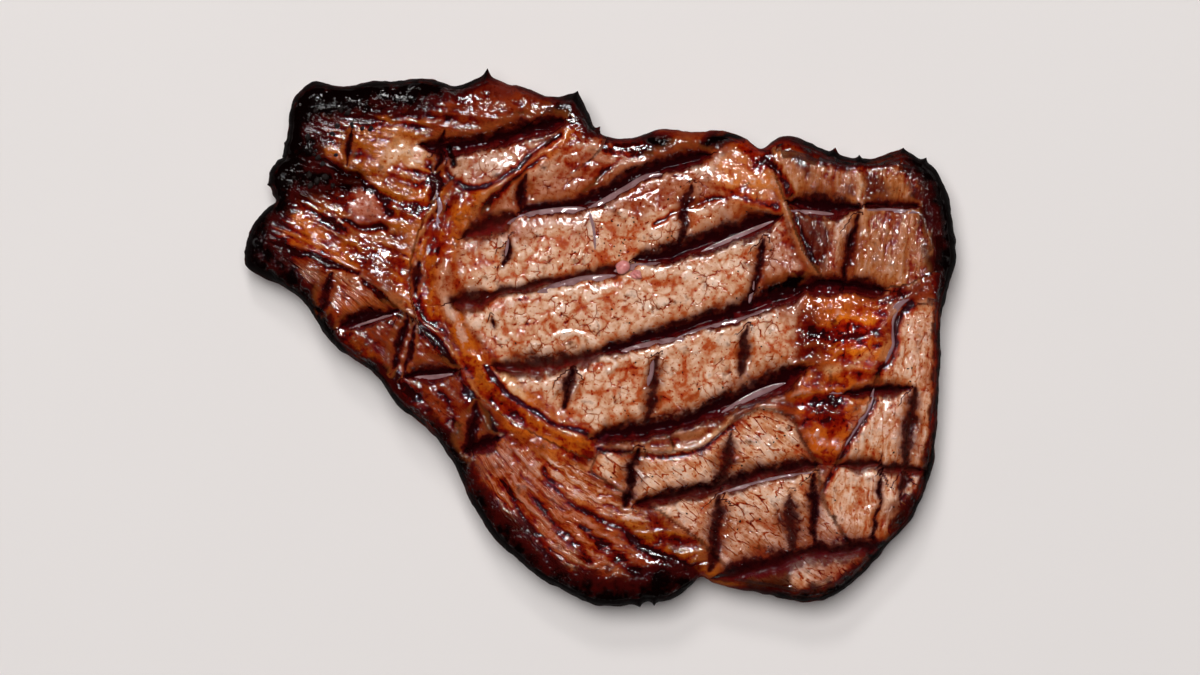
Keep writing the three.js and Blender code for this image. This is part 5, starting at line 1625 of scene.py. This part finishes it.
def painted_board():
    """Matt painted board, warm pale grey, that the steak lies on."""
    material, add = new_material("painted_board")
    colour, _ = clouded(add, 60, 1.0, "#E1DDDC", "#E3DFDE")
    inputs = {"Base Color": colour, "Roughness": 0.95, "Specular IOR Level": 0.05}
    add("OutputMaterial", {"Surface": add("BsdfPrincipled", inputs)})
    return material


# Stage


def aimed(thing, place, target):
    """Puts a lamp or camera at a place in metres, looking at the target."""
    thing.location = place
    thing.rotation_euler = (Vector(target) - Vector(place)).to_track_quat("-Z", "Y").to_euler()
    return thing


def softbox(name, turn, tilt, distance, width, height, radiance, tint, shows):
    """A rectangular light aimed at the steak, a distance away, tilted from overhead towards a turn from +X in
    degrees. Its power is pi times its area times the radiance. It shows in shade, in gloss or in both."""
    data = bpy.data.lights.new(name, "AREA")
    data.shape = "RECTANGLE"
    data.size, data.size_y, data.energy, data.color = width, height, np.pi * width * height * radiance, tint
    lamp = bpy.data.objects.new(name, data)
    bpy.context.scene.collection.objects.link(lamp)
    lamp.visible_glossy, lamp.visible_diffuse = shows != "shade", shows != "gloss"
    turn, tilt = np.deg2rad(turn), np.deg2rad(tilt)
    way = np.array((np.sin(tilt) * np.cos(turn), np.sin(tilt) * np.sin(turn), np.cos(tilt)))
    return aimed(lamp, tuple(distance * way), LAMP_TARGET)


def stage():
    """The floor, the lights and the camera straight above."""
    corners = np.array([(-1, -1), (1, -1), (1, 1), (-1, 1)]) * FLOOR_HALF_WIDTH
    floor = make_mesh("floor", np.column_stack([corners, np.full(4, FLOOR_HEIGHT)]), [(0, 1, 2, 3)])
    floor.data.materials.append(painted_board())

    for lamp in LAMPS:
        softbox(*lamp)
    world = bpy.data.worlds.new("studio")
    world.use_nodes = True
    world.node_tree.nodes["Background"].inputs["Color"].default_value = SKY_COLOUR
    world.node_tree.nodes["Background"].inputs["Strength"].default_value = AMBIENT
    bpy.context.scene.world = world

    data = bpy.data.cameras.new("camera")
    data.lens, data.sensor_width, data.clip_start, data.clip_end = LENS, SENSOR, 0.01, 20
    camera = bpy.data.objects.new("camera", data)
    bpy.context.scene.collection.objects.link(camera)
    camera.location = (0, 0, (FRAME_WIDTH * LENS / SENSOR + OUTLINE_PLANE) * MM)
    bpy.context.scene.camera = camera
    bpy.context.scene.view_settings.view_transform = "Standard"


outline = outline_curves()
steak = steak_surface(outline)
steak.data.materials.append(seared_beef("seared_beef", wet=True))
steak.data.materials.append(seared_beef("dry_char_crust", wet=False))
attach(steak, "root")
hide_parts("steak")

juice = joined("meat_juice", [pool(line, fill, outline) for line, fill in JUICE])
juice.data.materials.append(meat_juice())
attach(juice, "root")

crumb_places, crumb_sizes = [(x, y) for x, y, _ in CRUMBS], [size for _, _, size in CRUMBS]
crumbs = strewn_lumps("fat_crumbs", crumb_places, crumb_sizes, *CRUMB_FORM, outline)
crumbs.data.materials.append(crumb_fat())
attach(crumbs, "root")

places = pepper_places()
sizes = np.random.default_rng(SEED + 201).uniform(*PEPPER_SIZES, len(places))
pepper = strewn_lumps("pepper", places, sizes, *PEPPER_FORM, outline)
pepper.data.materials.append(cracked_pepper())
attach(pepper, "root")

places = flake_places()
sizes = np.random.default_rng(SEED + 301).uniform(*FLAKE_SIZES, len(places))
flakes = strewn_lumps("char_flakes", places, sizes, *FLAKE_FORM, outline)
flakes.data.materials.append(burnt_flakes())
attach(flakes, "root")

stage()
